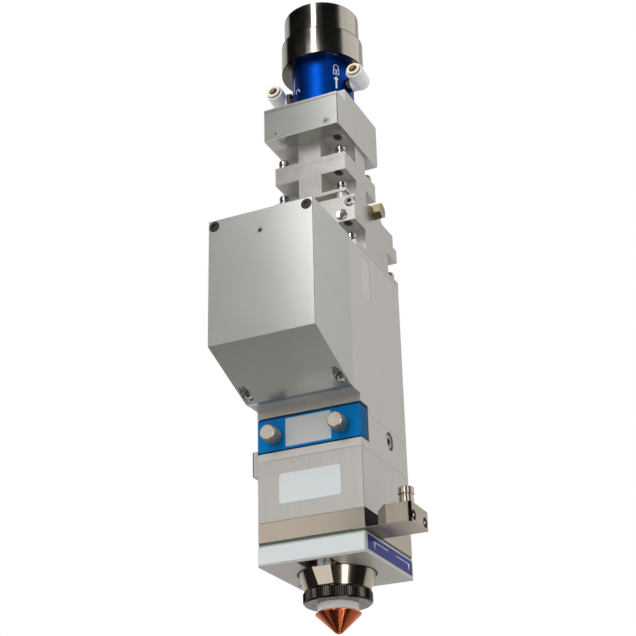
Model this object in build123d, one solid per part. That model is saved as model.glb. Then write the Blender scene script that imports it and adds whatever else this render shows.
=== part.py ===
# Laser cutting head with a motorised focus, a protective window drawer and a copper nozzle.
# Millimetres. X runs right along the front, Y runs from front to back, Z runs up the beam.
# The beam axis is the Z axis and the nozzle mouth lies at Z = 0.
import os
from math import cos, pi, sin

from build123d import *

os.makedirs("parts", exist_ok=True)

# Outline of the square lower blocks, shared by every block up to the focus housing.
body_width = 70.0
body_depth = 74.0
half_width = body_width / 2
front = -body_depth / 2
back = body_depth / 2

# Heights, each stacked on the one below.
nozzle_cone_height = 11.3
nozzle_rim_height = 1.1
ceramic_exposed = 4.9
ring_nut_height = 7.0
insert_height = 11.7
nozzle_block_height = 13.0
seal_thickness = 1.6
band_height = 12.4
middle_height = 38.7
drawer_housing_height = 23.6
focus_housing_height = 113.5

ceramic_bottom = nozzle_cone_height + nozzle_rim_height
nut_bottom = ceramic_bottom + ceramic_exposed
nut_top = nut_bottom + ring_nut_height
block_bottom = nut_top + insert_height
seal_bottom = block_bottom + nozzle_block_height
band_bottom = seal_bottom + seal_thickness
middle_bottom = band_bottom + band_height
drawer_housing_bottom = middle_bottom + middle_height
focus_bottom = drawer_housing_bottom + drawer_housing_height
focus_top = focus_bottom + focus_housing_height

# Clearances.
turning_gap = 0.06
sliding_gap = 0.10
free_gap = 0.25
seam_gap = 0.45
upper_seam_gap = 0.75

# Beam passage and optics.
beam_radius = 14.0
optic_radius = 15.0
narrow_beam_radius = 11.5
edge_break = 0.2
label_thickness = 0.25

# Socket head screws: shank radius, head radius, head height.
m3 = (1.5, 2.75, 3.0)
m4 = (2.0, 3.5, 4.0)
m6 = (3.0, 5.0, 6.0)
hole_slack = 0.05


def save(shape, name):
    export_step(shape, f"parts/{name}.step")


def block(x0, x1, y0, y1, z0, z1, corner=0.0):
    """Upright block between six planes, its upright edges rounded when asked."""
    body = Pos((x0 + x1) / 2, (y0 + y1) / 2, (z0 + z1) / 2) * Box(x1 - x0, y1 - y0, z1 - z0)
    if corner:
        body = fillet(body.edges().filter_by(Axis.Z), corner)
    return body


def bevelled(x0, x1, y0, y1, z0, z1, size=edge_break):
    """Block with all its edges bevelled, so that a joint shows as a fine line."""
    body = block(x0, x1, y0, y1, z0, z1)
    return chamfer(body.edges(), size)


def rod(radius, z0, z1, x=0.0, y=0.0):
    return Pos(x, y, (z0 + z1) / 2) * Cylinder(radius, z1 - z0)


def rod_y(radius, y0, y1, x, z):
    return Pos(x, (y0 + y1) / 2, z) * Rot(90, 0, 0) * Cylinder(radius, y1 - y0)


def rod_x(radius, x0, x1, y, z):
    return Pos((x0 + x1) / 2, y, z) * Rot(0, 90, 0) * Cylinder(radius, x1 - x0)


def turned(points):
    """Solid of revolution about Z from radius and height pairs."""
    outline = Polyline(*[(r, 0, z) for r, z in points], close=True)
    return revolve(make_face(outline), Axis.Z)


def hexagon(across_flats, length):
    """Hexagonal bar along Z, standing on the origin, corners on the Y axis."""
    return extrude(Rot(0, 0, 30) * RegularPolygon(across_flats / 2, 6, major_radius=False), length)


def knurled(radius, teeth, depth, length):
    """Toothed bar along Z, standing on the origin."""
    points = []
    for i in range(2 * teeth):
        r = radius if i % 2 == 0 else radius - depth
        points.append((r * cos(pi * i / teeth), r * sin(pi * i / teeth)))
    return extrude(make_face(Polyline(*points, close=True)), length)


def cap_screw(size, shank):
    """Socket head screw, its head above the origin and its shank below."""
    shank_radius, head_radius, head_height = size
    head = Pos(0, 0, head_height / 2) * Cylinder(head_radius, head_height)
    head = chamfer(head.edges().sort_by(Axis.Z)[-1], 0.4)
    socket = Pos(0, 0, head_height * 0.45) * hexagon(shank_radius * 1.5, head_height)
    return head - socket + Pos(0, 0, -shank / 2) * Cylinder(shank_radius, shank)


def facing_front(shape):
    """Turn a shape standing along Z so that its top looks to the front."""
    return Rot(90, 0, 0) * shape


def facing_right(shape):
    return Rot(0, 90, 0) * shape


def group(shapes):
    return Compound(children=list(shapes))


# Copper nozzle: a sharp cone with a threaded stem that goes up into the ceramic.
nozzle_radius = 14.0
nozzle_tip_radius = 1.95
orifice_radius = 1.0
orifice_length = 2.0
stem_radius = 5.4
stem_top = ceramic_bottom + 8.4
nozzle = turned([
    (orifice_radius, 0), (nozzle_tip_radius, 0), (nozzle_radius, nozzle_cone_height),
    (nozzle_radius, nozzle_cone_height + 0.5), (12.9, ceramic_bottom), (stem_radius, ceramic_bottom),
    (stem_radius, stem_top), (3.9, stem_top), (3.6, 9.0), (orifice_radius, orifice_length),
])
save(nozzle, "nozzle")

# White ceramic: carries the nozzle, its flange is clamped by the ring nut.
ceramic_radius = 12.6
flange_radius = 16.7
nut_lip = 2.0
ceramic_flange_bottom = nut_bottom + nut_lip
ceramic_top = block_bottom - 8.8
ceramic = turned([
    (stem_radius + turning_gap, ceramic_bottom), (ceramic_radius - 0.4, ceramic_bottom),
    (ceramic_radius, ceramic_bottom + 0.4), (ceramic_radius, ceramic_flange_bottom + 0.02),
    (flange_radius, ceramic_flange_bottom + 0.02), (flange_radius, ceramic_flange_bottom + 3.0),
    (12.9, ceramic_flange_bottom + 3.0), (12.9, ceramic_top), (8.0, ceramic_top), (8.0, stem_top + 0.3),
    (stem_radius + turning_gap, stem_top + 0.3),
])
save(ceramic, "ceramic_holder")

# Knurled ring nut with two spanner holes in its lower face.
nut_radius = 21.2
nut_teeth_count = 100
nut_lower_chamfer = 1.2
ring_nut = Pos(0, 0, nut_bottom) * knurled(nut_radius, nut_teeth_count, 0.4, ring_nut_height)
ring_nut &= turned([
    (0, nut_bottom), (nut_radius - nut_lower_chamfer, nut_bottom), (nut_radius + 0.1, nut_bottom + nut_lower_chamfer),
    (nut_radius + 0.1, nut_top - 0.7), (nut_radius - 0.6, nut_top), (0, nut_top),
])
ring_nut -= rod(ceramic_radius + turning_gap, nut_bottom - 1, nut_top + 1)
ring_nut -= rod(flange_radius + free_gap, ceramic_flange_bottom, nut_top + 1)
spanner_circle = 14.9
for angle in (-165, 15):
    ring_nut -= rod(0.7, nut_bottom - 1, nut_bottom + 1.6,
                    spanner_circle * cos(angle * pi / 180), spanner_circle * sin(angle * pi / 180))
save(ring_nut, "ring_nut")

# Sensor insert: nickel cone below the block, a stem inside it, and a flat boss for the cable socket.
insert_foot_radius = 20.3
insert_cone_radius = 23.6
insert_stem_radius = 20.0
insert_top = seal_bottom - 0.3
foot_bottom = ceramic_flange_bottom + 3.05
insert_lip_bottom = nut_top + 0.9
boss_x = 1.6
boss_half_top, boss_half_foot = 6.0, 4.9
boss_top = block_bottom - 1.2
boss_foot = insert_lip_bottom + 0.2
boss_front_top, boss_front_foot = -27.0, -20.9
insert = turned([
    (12.9 + turning_gap, foot_bottom), (flange_radius + 0.1, foot_bottom),
    (flange_radius + 0.1, insert_lip_bottom), (insert_foot_radius, insert_lip_bottom),
    (insert_cone_radius, block_bottom - 0.3), (insert_cone_radius, block_bottom + 1.6),
    (insert_stem_radius, block_bottom + 1.6), (insert_stem_radius, insert_top), (10.5, insert_top),
    (10.5, ceramic_top + 0.3), (12.9 + turning_gap, ceramic_top + 0.3),
])
boss = extrude(make_face(Polyline((0, -18, boss_foot), (0, boss_front_foot, boss_foot),
                                  (0, boss_front_top, boss_top), (0, -18, boss_top), close=True)),
               boss_half_top, dir=(1, 0, 0), both=True)
boss &= extrude(make_face(Polyline((-boss_half_foot, 0, boss_foot), (boss_half_foot, 0, boss_foot),
                                   (boss_half_top, 0, boss_top), (-boss_half_top, 0, boss_top), close=True)),
                40, dir=(0, -1, 0))
insert += Pos(boss_x, 0, 0) * boss
insert -= block(boss_x - 6.5, boss_x + 6.5, boss_front_top - 1, -21.4, boss_top, block_bottom + 2)
save(insert, "sensor_insert")

# Cable socket on the boss with a small round nut beside it, and a brass contact next to them.
socket_x, socket_y, socket_radius = 0.6, -24.4, 2.3
side_nut_x = socket_x + 4.4
connector = rod(socket_radius, boss_top, boss_top + 2.0, socket_x, socket_y)
connector += rod(socket_radius - 0.35, boss_top + 2.0, boss_top + 2.5, socket_x, socket_y)
connector += rod(socket_radius, boss_top + 2.5, boss_top + 6.0, socket_x, socket_y)
side_nut = Pos(side_nut_x, socket_y, boss_top + 1.5) * Sphere(1.9)
side_nut += rod(1.3, boss_top + 1.5, boss_top + 5.0, side_nut_x, socket_y)
side_nut &= block(side_nut_x - 3, side_nut_x + 3, socket_y - 3, socket_y + 3, boss_top, boss_top + 6.0)
connector += side_nut
connector += block(socket_x, side_nut_x, socket_y - 1.2, socket_y + 1.2, boss_top, boss_top + 0.8)
save(connector, "cable_socket")
contact_x, contact_y = 10.0, -27.4
contact = rod(1.4, block_bottom - 1.0, block_bottom + 4.0, contact_x, contact_y)
contact = chamfer(contact.edges().sort_by(Axis.Z)[0], 0.4)
save(contact, "contact_pin")

# Nozzle block, the lowest of the square blocks.
recess_radius = 24.6
nozzle_block = bevelled(-half_width, half_width, front, back, block_bottom, seal_bottom)
nozzle_block -= rod(recess_radius, block_bottom - 1, block_bottom + 2.0)
nozzle_block -= rod(insert_stem_radius + hole_slack, block_bottom, seal_bottom + 1)
nozzle_block -= block(socket_x - 3.2, side_nut_x + 2.6, socket_y - 3.2, socket_y + 7, block_bottom - 1,
                      block_bottom + 5.4)
nozzle_block -= rod(1.4 + hole_slack, block_bottom - 1, block_bottom + 4.0, contact_x, contact_y)
vent_x, vent_y = -half_width + 4.0, 12.8
nozzle_block -= rod(1.5 + hole_slack, block_bottom - 1, block_bottom + 5.0, vent_x, vent_y)
save(nozzle_block, "nozzle_block")
vent_screw = Pos(vent_x, vent_y, block_bottom + 0.2) * Rot(180, 0, 0) * (
    Pos(0, 0, -4.6) * Cylinder(1.5, 4.6, align=(Align.CENTER, Align.CENTER, Align.MIN))
    - Pos(0, 0, -1.2) * hexagon(1.4, 2))
save(vent_screw, "vent_screw")

# Flat seal between the nozzle block and the nickel band.
seal_inset = 0.35
seal = block(-half_width + seal_inset, half_width - seal_inset, front + seal_inset, back - seal_inset,
             seal_bottom, band_bottom) - rod(24.0, seal_bottom - 1, band_bottom + 1)
save(seal, "block_seal")

# Nickel band with a shallow seat for the tongue of the side arm.
arm_front, arm_back = front + 0.1, -10.2
tongue_inner = half_width - 8.0
tongue_height = 1.7
band = bevelled(-half_width, half_width, front, back, band_bottom, middle_bottom)
band -= rod(beam_radius, band_bottom - 1, middle_bottom + 1)
band -= block(tongue_inner - 0.05, half_width + 1, arm_front - 0.2, arm_back + 0.05,
              band_bottom - 1, band_bottom + tongue_height + 0.02)
save(band, "nickel_band")

# Side arm: a thin tongue under the band and a block outside it with two through holes.
arm_left, arm_right = half_width + 8.3, half_width + 29.0
arm_top = band_bottom + 11.9
arm_hole_radius = 3.2
arm_hole_z = band_bottom + 4.3
arm_hole_inset = 4.5
arm_body = block(arm_left, arm_right, arm_front, arm_back, band_bottom, arm_top)
arm_body = chamfer(arm_body.edges().filter_by(Axis.Z).sort_by(Axis.X)[2:].sort_by(Axis.Y)[0], 2.2)
arm_body = chamfer(arm_body.edges().filter_by(Axis.Y).sort_by(Axis.X)[:2].sort_by(Axis.Z)[-1], 3.6)
arm = arm_body + block(tongue_inner, arm_left, arm_front, arm_back, band_bottom, band_bottom + tongue_height)
arm_hole_front = arm_front + arm_hole_inset
arm_hole_back = arm_back - arm_hole_inset
for y in (arm_hole_front, arm_hole_back):
    arm -= rod_x(arm_hole_radius, arm_left - 1, arm_right + 1, y, arm_hole_z)
arm -= rod(2.6, arm_top - 2.4, arm_top + 1, half_width + 21.5, -24.0)
save(arm, "side_arm")

# Gas fitting standing on the arm.
fitting_x, fitting_y = half_width + 21.5, -24.0
fitting_height = 12.4
fitting = Pos(fitting_x, fitting_y, arm_top) * (turned([
    (0, 0), (4.1, 0), (4.1, 1.2), (4.5, 1.6), (4.5, 6.4), (4.0, 6.8), (4.0, 7.6), (4.85, 8.2),
    (4.85, fitting_height - 0.5), (4.4, fitting_height), (0, fitting_height),
]) - Pos(0, 0, fitting_height - 4.5) * hexagon(5.0, 5))
fitting += rod(2.55, arm_top - 2.3, arm_top, fitting_x, fitting_y)
save(fitting, "gas_fitting")

# Middle block between the band and the drawer housing.
middle = bevelled(-half_width, half_width, front, back, middle_bottom, drawer_housing_bottom)
middle -= rod(beam_radius, middle_bottom - 1, drawer_housing_bottom + 1)
left_plate_thickness = 3.8
left_plate_front, left_plate_back = front + 0.1, front + 29.0
left_plate_bottom, left_plate_top = drawer_housing_bottom - 8.6, drawer_housing_bottom + 7.7
plate_screw_spots = [(y, left_plate_bottom + 4.6) for y in (left_plate_front + 5, left_plate_back - 5)]
for y, z in plate_screw_spots:
    middle -= rod_x(1.5 + hole_slack, -half_width - 1, -half_width + 7, y, z)
save(middle, "middle_block")

# Small cover plate on the left flank, over the joint of the two blocks.
left_plate = block(-half_width - left_plate_thickness, -half_width, left_plate_front, left_plate_back,
                   left_plate_bottom, left_plate_top)
left_plate = chamfer(left_plate.edges().sort_by(Axis.X)[:4], 0.5)
for y, z in plate_screw_spots:
    left_plate -= rod_x(1.5 + hole_slack, -half_width - 5, -half_width + 1, y, z)
    left_plate -= rod_x(2.8 + hole_slack, -half_width - 5, -half_width - 2.1, y, z)
save(left_plate, "left_cover_plate")
plate_screw = (Cylinder(1.5, 6.8, align=(Align.CENTER, Align.CENTER, Align.MAX))
               + Cylinder(2.8, 1.6, align=(Align.CENTER, Align.CENTER, Align.MIN)))
plate_screw -= Pos(0, 0, 0.8) * hexagon(2.0, 2)
save(group(Pos(-half_width - 2.1, y, z) * Rot(0, -90, 0) * plate_screw for y, z in plate_screw_spots),
     "left_plate_screws")

# Window drawer: blue front plate, tray, window, its retaining ring and its seal.
drawer_plate_depth = 11.0
drawer_plate_half = half_width - 0.05
drawer_plate_back = front + drawer_plate_depth
drawer_plate_bottom = drawer_housing_bottom + 5.6
drawer_plate_top = drawer_plate_bottom + 22.1
tray_half_width = 19.0
tray_back = 19.0
tray_bottom = drawer_housing_bottom + 8.2
tray_top = tray_bottom + 9.0
window_radius = 15.0
window_thickness = 4.0
window_bottom = tray_bottom + 2.0
window_top = window_bottom + window_thickness
thumb_x = half_width - 12.5
thumb_z = drawer_housing_bottom + 14.6
thumb_shank = 2.45
thumb_tip = front + 21.0
drawer = block(-drawer_plate_half, drawer_plate_half, front, drawer_plate_back, drawer_plate_bottom,
               drawer_plate_top)
drawer = chamfer(drawer.faces().sort_by(Axis.Y)[0].edges(), 0.25)
drawer += block(-tray_half_width, tray_half_width, drawer_plate_back, tray_back - 10, tray_bottom, tray_top)
drawer += block(-tray_half_width, tray_half_width, 0, tray_back, tray_bottom, tray_top, corner=6.0)
drawer -= rod(window_radius - 1.6, tray_bottom - 1, tray_top + 1)
drawer -= rod(window_radius + turning_gap, window_bottom, tray_top + 1)
drawer -= rod(window_radius + 1.6, window_top, tray_top + 1)
for x in (-thumb_x, thumb_x):
    drawer -= rod_y(thumb_shank + sliding_gap, front - 1, drawer_plate_back + 1, x, thumb_z)
save(drawer, "window_drawer")
window = rod(window_radius, window_bottom, window_top)
window = chamfer(window.edges().filter_by(GeomType.CIRCLE), 0.3)
save(window, "protective_window")
window_ring = turned([(window_radius - 1.8, window_top), (window_radius + 1.55, window_top),
                      (window_radius + 1.55, tray_top - 0.4), (window_radius - 1.3, tray_top - 0.4)])
for angle in (0, 180):
    window_ring -= Rot(0, 0, angle) * block(window_radius - 3, window_radius + 3, -0.8, 0.8,
                                             tray_top - 1.2, tray_top)
save(window_ring, "window_ring")

# Knurled thumb screws that hold the drawer.
thumb_radius = 5.3
thumb_length = 10.8
thumb_teeth_count = 36
thumb = knurled(thumb_radius, thumb_teeth_count, 0.35, thumb_length)
thumb &= turned([(0, 0), (thumb_radius - 0.5, 0), (thumb_radius + 0.1, 0.6),
                 (thumb_radius + 0.1, thumb_length - 0.8), (thumb_radius - 0.8, thumb_length),
                 (0, thumb_length)])
thumb += Pos(0, 0, -1.1) * Cylinder(4.1, 1.1, align=(Align.CENTER, Align.CENTER, Align.MIN))
thumb += Pos(0, 0, -1.1) * Cylinder(thumb_shank, thumb_tip - front,
                                    align=(Align.CENTER, Align.CENTER, Align.MAX))
for x, side in ((-thumb_x, "left"), (thumb_x, "right")):
    save(Pos(x, front - 1.15, thumb_z) * facing_front(thumb), f"thumb_screw_{side}")

# Drawer housing: full width rebate for the drawer plate, slot for the tray, clamp screw in its side.
clamp_y = 8.1
clamp_z = drawer_housing_bottom + 16.6
rebate_bottom = drawer_plate_bottom - seam_gap
rebate_top = drawer_plate_top + upper_seam_gap
housing = bevelled(-half_width, half_width, front, back, drawer_housing_bottom, focus_bottom)
housing -= rod(beam_radius, drawer_housing_bottom - 1, focus_bottom + 1)
housing -= block(-half_width - 1, half_width + 1, front - 1, drawer_plate_back + 0.3, rebate_bottom, focus_bottom + 1)
housing -= block(-tray_half_width - sliding_gap, tray_half_width + sliding_gap, front, tray_back - 8,
                 tray_bottom - sliding_gap, tray_top + sliding_gap)
housing -= block(-tray_half_width - sliding_gap, tray_half_width + sliding_gap, 0, tray_back + 0.6,
                 tray_bottom - sliding_gap, tray_top + sliding_gap, corner=5.5)
for x in (-thumb_x, thumb_x):
    housing -= rod_y(thumb_shank + sliding_gap, front, thumb_tip + 1.0, x, thumb_z)
housing -= rod_x(6.0, half_width - 5.4, half_width + 1, clamp_y, clamp_z)
housing -= rod_x(m6[0] + hole_slack, half_width - 13.0, half_width + 1, clamp_y, clamp_z)
save(housing, "drawer_housing")
clamp_screw = Pos(half_width - 5.4, clamp_y, clamp_z) * facing_right(
    Rot(0, 0, 90) * cap_screw((m6[0], 4.9, 4.6), 7.4))
save(clamp_screw, "clamp_screw")

# Focus housing with its front ledge, beam bore, slot for the carriage arm and rear mounting holes.
ledge_z = focus_bottom + 10.0
cover_joint = front - 10.5
slot_half_width = 9.0
slot_height = 54.0
slot_bottom = focus_bottom + 22.0
slot_top = slot_bottom + slot_height
carriage_bore = 17.0
bore_bottom, bore_top = focus_bottom + 8.0, focus_top - 9.0
rear_bolt_x, rear_bolt_z = body_width - 20.0, 80.0
rear_centre_z = focus_bottom + 56.0
rear_thread_radius = 2.5
rear_thread_depth = 12.0
dowel_radius = 3.0
dowel_depth = 8.0
dowel_spacing = 60.0
focus = bevelled(-half_width, half_width, cover_joint, back, focus_bottom, focus_top)
focus -= block(-half_width - 1, half_width + 1, cover_joint - 1, front, focus_bottom - 1, ledge_z)
focus -= block(-half_width - 1, half_width + 1, front - 1, drawer_plate_back + 0.3, focus_bottom - 1, rebate_top)
focus -= rod(beam_radius, focus_bottom - 1, focus_top + 1)
focus -= rod(carriage_bore, bore_bottom, bore_top)
focus -= block(-slot_half_width, slot_half_width, cover_joint - 1, 0, slot_bottom, slot_top)
for x in (-rear_bolt_x / 2, rear_bolt_x / 2):
    for z in (rear_centre_z - rear_bolt_z / 2, rear_centre_z + rear_bolt_z / 2):
        focus -= rod_y(rear_thread_radius, back - rear_thread_depth, back + 1, x, z)
for z in (rear_centre_z - dowel_spacing / 2, rear_centre_z + dowel_spacing / 2):
    focus -= rod_y(dowel_radius, back - dowel_depth, back + 1, 0, z)

# Blank plate let into the right flank.
blank_front, blank_back = -27.4, -13.6
blank_height = 28.6
blank_top = focus_top - 4.1
blank_bottom = blank_top - blank_height
blank_depth = 0.5
focus -= block(half_width - blank_depth, half_width + 1, blank_front, blank_back, blank_bottom, blank_top)
blank = block(half_width - blank_depth, half_width - 0.1, blank_front + 0.15, blank_back - 0.15,
              blank_bottom + 0.15, blank_top - 0.15)
save(blank, "flank_plate")

# Drive cover: a deep hood with a sloping bottom, fixed by two screws below and closed by two plugs above.
cover_front = front - 63.8
slope_start = front - 14.5
cover_lip = ledge_z + 20.0
cover_top = focus_top + 0.9
cover_half = half_width + 0.4
wall = 2.6
cover_outline = Polyline((cover_joint, ledge_z), (slope_start, ledge_z), (cover_front, cover_lip),
                         (cover_front, cover_top), (cover_joint, cover_top), close=True)
cover_hollow = Polyline((cover_joint + 1, ledge_z + wall), (slope_start - 0.5, ledge_z + wall),
                        (cover_front + wall, cover_lip + wall * 0.75), (cover_front + wall, cover_top - wall),
                        (cover_joint + 1, cover_top - wall), close=True)


def across(profile, half):
    """Sweep a side profile over the width, from minus half to plus half."""
    face = make_face(Polyline(*[(0, v.X, v.Y) for v in profile.vertices()], close=True))
    return extrude(face, half, dir=(1, 0, 0), both=True)


cover = across(cover_outline, cover_half)
cover = chamfer(cover.faces().sort_by(Axis.Y)[0].edges(), edge_break)
cover -= across(cover_hollow, cover_half - wall)
low_screw_x, low_screw_z = half_width - 3.8, ledge_z + 3.3
plug_x, plug_z = half_width - 3.6, cover_top - 4.3
plug_radius = 3.5
seat_y = cover_joint - 6.6
for side in (-1, 1):
    foot = block(*sorted((side * (cover_half - wall - 7.4), side * (cover_half - 0.6))),
                 cover_front, cover_joint, ledge_z, ledge_z + 10.4)
    cover += foot & across(cover_outline, cover_half - 0.6)
    post = block(*sorted((side * (cover_half - wall - 6.0), side * (cover_half - 0.6))),
                 cover_front + 1.0, cover_joint, cover_top - wall - 6.4, cover_top - 0.6)
    cover += post
for side in (-1, 1):
    cover -= rod_y(3.1, cover_front - 5, seat_y, side * low_screw_x, low_screw_z)
    cover -= rod_y(m3[0] + hole_slack, seat_y - 1, cover_joint + 1, side * low_screw_x, low_screw_z)
    cover -= rod_y(plug_radius + 0.03, cover_front - 1, cover_front + 5.0, side * plug_x, plug_z)
    focus -= rod_y(m3[0] + hole_slack, cover_joint - 1, cover_joint + 8.5, side * low_screw_x, low_screw_z)
adapter_front = front + 2.6
adapter_screw_spots = [(sx * (half_width - 4.7), y) for sx in (-1, 1) for y in (adapter_front + 3.6, back - 3.6)]
pillar_spots = [(sx * 21.2, sy * 22.0) for sx in (-1, 1) for sy in (-1, 1)]
for x, y in adapter_screw_spots:
    focus -= rod(2.0 + hole_slack, focus_top - 5.6, focus_top + 1, x, y)
mark_z = focus_top - 13.4
mark_head_radius = 2.2
cover -= rod_y(1.5 + hole_slack, cover_front - 1, cover_front + wall + 1, 0, mark_z)
cover -= rod_y(mark_head_radius + hole_slack, cover_front - 1, cover_front + 1.2, 0, mark_z)
save(focus, "focus_housing")
save(cover, "drive_cover")
low_screw = cap_screw(m3, 14.0)
save(group(Pos(side * low_screw_x, seat_y, low_screw_z) * facing_front(low_screw) for side in (-1, 1)),
     "cover_screws")
plug = Pos(0, 0, -4.6) * Cylinder(plug_radius, 4.6, align=(Align.CENTER, Align.CENTER, Align.MIN))
plug = chamfer(plug.edges().sort_by(Axis.Z)[-1], 0.5) - Pos(0, 0, -0.8) * Cylinder(
    1.7, 1.6, align=(Align.CENTER, Align.CENTER, Align.MIN))
save(group(Pos(side * plug_x, cover_front - 0.3, plug_z) * facing_front(plug) for side in (-1, 1)),
     "cover_plugs")
mark_screw = (Cylinder(1.5, 4.6, align=(Align.CENTER, Align.CENTER, Align.MAX))
              + Cylinder(mark_head_radius, 1.0, align=(Align.CENTER, Align.CENTER, Align.MIN)))
mark_screw -= Pos(0, 0, -1.6) * hexagon(2.4, 3)
save(Pos(0, cover_front + 1.2, mark_z) * facing_front(mark_screw), "cover_front_screw")

# Focus drive inside the hood: motor on a plate, spindle, two guide rods, foot bearing and carriage.
drive_y = front - 31.0
motor_plate_z = focus_top - 38.0
motor_plate_thickness = 4.0
foot_z = focus_bottom + 22.4
foot_thickness = 5.0
rod_x_offset = 11.0
rod_radius = 2.5
spindle_radius = 3.0
guide_y = front - 20.0
motor = block(-14, 14, drive_y - 14, drive_y + 14, motor_plate_z + motor_plate_thickness,
              motor_plate_z + motor_plate_thickness + 31.0, corner=2.5)
save(motor, "focus_motor")
drive_frame = block(-17, 17, drive_y - 14, cover_joint, motor_plate_z, motor_plate_z + motor_plate_thickness)
drive_frame += block(-17, 17, drive_y - 8, cover_joint, foot_z, foot_z + foot_thickness)
drive_frame += block(-17, 17, cover_joint - 2.0, cover_joint, foot_z, motor_plate_z + motor_plate_thickness)
drive_frame -= block(-slot_half_width, slot_half_width, cover_joint - 3, cover_joint + 1,
                     foot_z + foot_thickness, motor_plate_z)
drive_frame -= rod(4.2, motor_plate_z - 1, motor_plate_z + 6, 0, drive_y)
drive_frame -= rod(spindle_radius + turning_gap, foot_z + 1.5, foot_z + 6, 0, drive_y)
for x in (-rod_x_offset, rod_x_offset):
    drive_frame -= rod(rod_radius, motor_plate_z - 1, motor_plate_z + 6, x, guide_y)
    drive_frame -= rod(rod_radius, foot_z + 1.0, foot_z + 6, x, guide_y)
save(drive_frame, "drive_frame")
save(group(rod(rod_radius, foot_z + 1.0, motor_plate_z + motor_plate_thickness, x, guide_y)
           for x in (-rod_x_offset, rod_x_offset)), "guide_rods")
spindle = rod(spindle_radius, foot_z + 1.6, motor_plate_z - 2.0, 0, drive_y)
spindle += rod(4.1, motor_plate_z - 2.0, motor_plate_z + motor_plate_thickness - 0.1, 0, drive_y)
save(spindle, "focus_spindle")

# Carriage: lens barrel in the beam bore, an arm through the slot, sleeves on rods and spindle.
barrel_radius = carriage_bore - 0.1
carriage_z = focus_bottom + 40.0
barrel_height = 24.0
carriage = rod(barrel_radius, carriage_z, carriage_z + barrel_height)
arm_z0, arm_z1 = carriage_z + 7.0, carriage_z + 17.0
carriage += block(-slot_half_width + 0.3, slot_half_width - 0.3, guide_y, -8, arm_z0, arm_z1)
carriage += block(-16.0, 16.0, drive_y - 7, cover_joint - 3.0, arm_z0, arm_z1)
lens_seat = carriage_z + 8.0
lens_thickness = 6.0
carriage -= rod(beam_radius - 1, carriage_z - 1, carriage_z + barrel_height + 1)
carriage -= rod(optic_radius + turning_gap, lens_seat, carriage_z + barrel_height + 1)
carriage -= rod(spindle_radius + turning_gap, arm_z0 - 1, arm_z1 + 1, 0, drive_y)
for x in (-rod_x_offset, rod_x_offset):
    carriage -= rod(rod_radius + turning_gap, arm_z0 - 1, arm_z1 + 1, x, guide_y)
save(carriage, "lens_carriage")
sag = 1.2
focus_lens = rod(optic_radius, lens_seat, lens_seat + lens_thickness)
big_ball = (optic_radius ** 2 + sag ** 2) / (2 * sag)
focus_lens &= Pos(0, 0, lens_seat + lens_thickness - big_ball) * Sphere(big_ball)
save(focus_lens, "focus_lens")
lens_ring_top = lens_seat + lens_thickness + 2.0
lens_rim_z = lens_seat + lens_thickness - sag
save(turned([(optic_radius - 1.6, lens_rim_z + 0.25), (optic_radius, lens_rim_z + 0.05),
             (optic_radius, lens_ring_top), (optic_radius - 1.6, lens_ring_top)]), "lens_ring")

# Adapter on top of the focus housing: a base with four corner pockets, and above it a block with a
# stepped back and a low saddle on its top.
adapter_floor = focus_top + 3.6
adapter_ceiling = adapter_floor + 15.0
adapter_top = adapter_ceiling + 18.4
saddle_top = adapter_top + 6.0
rear_step_z = adapter_ceiling + 9.6
rear_step_y = back - 6.0
pocket_corner = 5.0
seat_radius = 19.0
adapter_base = block(-half_width, half_width, adapter_front, back, focus_top, adapter_ceiling)
adapter_profile = Polyline((adapter_front, adapter_ceiling), (adapter_front, adapter_top), (-20, adapter_top),
                           (-3.8, saddle_top), (10.5, saddle_top), (10.5, adapter_top),
                           (rear_step_y, adapter_top), (rear_step_y, rear_step_z), (back, rear_step_z),
                           (back, adapter_ceiling), close=True)
adapter = across(adapter_profile, half_width)
saddle_foot = [e for e in adapter.edges().filter_by(Axis.X)
               if abs(e.center().Y - 10.5) < 0.01 and abs(e.center().Z - adapter_top) < 0.01]
adapter = fillet(saddle_foot, 4.0)
front_pocket_y, back_pocket_y, adapter_pocket_x = adapter_front + 16.9, back - 17.0, half_width - 17.0
for side in (-1, 1):
    x0, x1 = sorted((side * adapter_pocket_x, side * (half_width + 12)))
    for y0, y1 in ((adapter_front - 12, front_pocket_y), (back_pocket_y, back + 12)):
        adapter_base -= block(x0, x1, y0, y1, adapter_floor, adapter_ceiling + 1, pocket_corner)
adapter_base -= rod(beam_radius, focus_top - 1, adapter_ceiling + 1)
adapter -= rod(beam_radius, adapter_ceiling - 1, saddle_top + 1)
adapter -= rod(seat_radius + hole_slack, adapter_top, saddle_top + 1)
collimator_bottom = adapter_top + 9.5
pillar_foot_radius = 3.6
for x, y in adapter_screw_spots:
    adapter_base -= rod(2.0 + hole_slack, focus_top - 1, adapter_floor + 1, x, y)
save(adapter_base, "adapter_base")
for x, y in pillar_spots:
    adapter += rod(pillar_foot_radius, adapter_top - 1, collimator_bottom, x, y)
for x, y in pillar_spots:
    adapter -= rod(2.0 + hole_slack, collimator_bottom - 6.8, collimator_bottom + 1, x, y)

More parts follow.
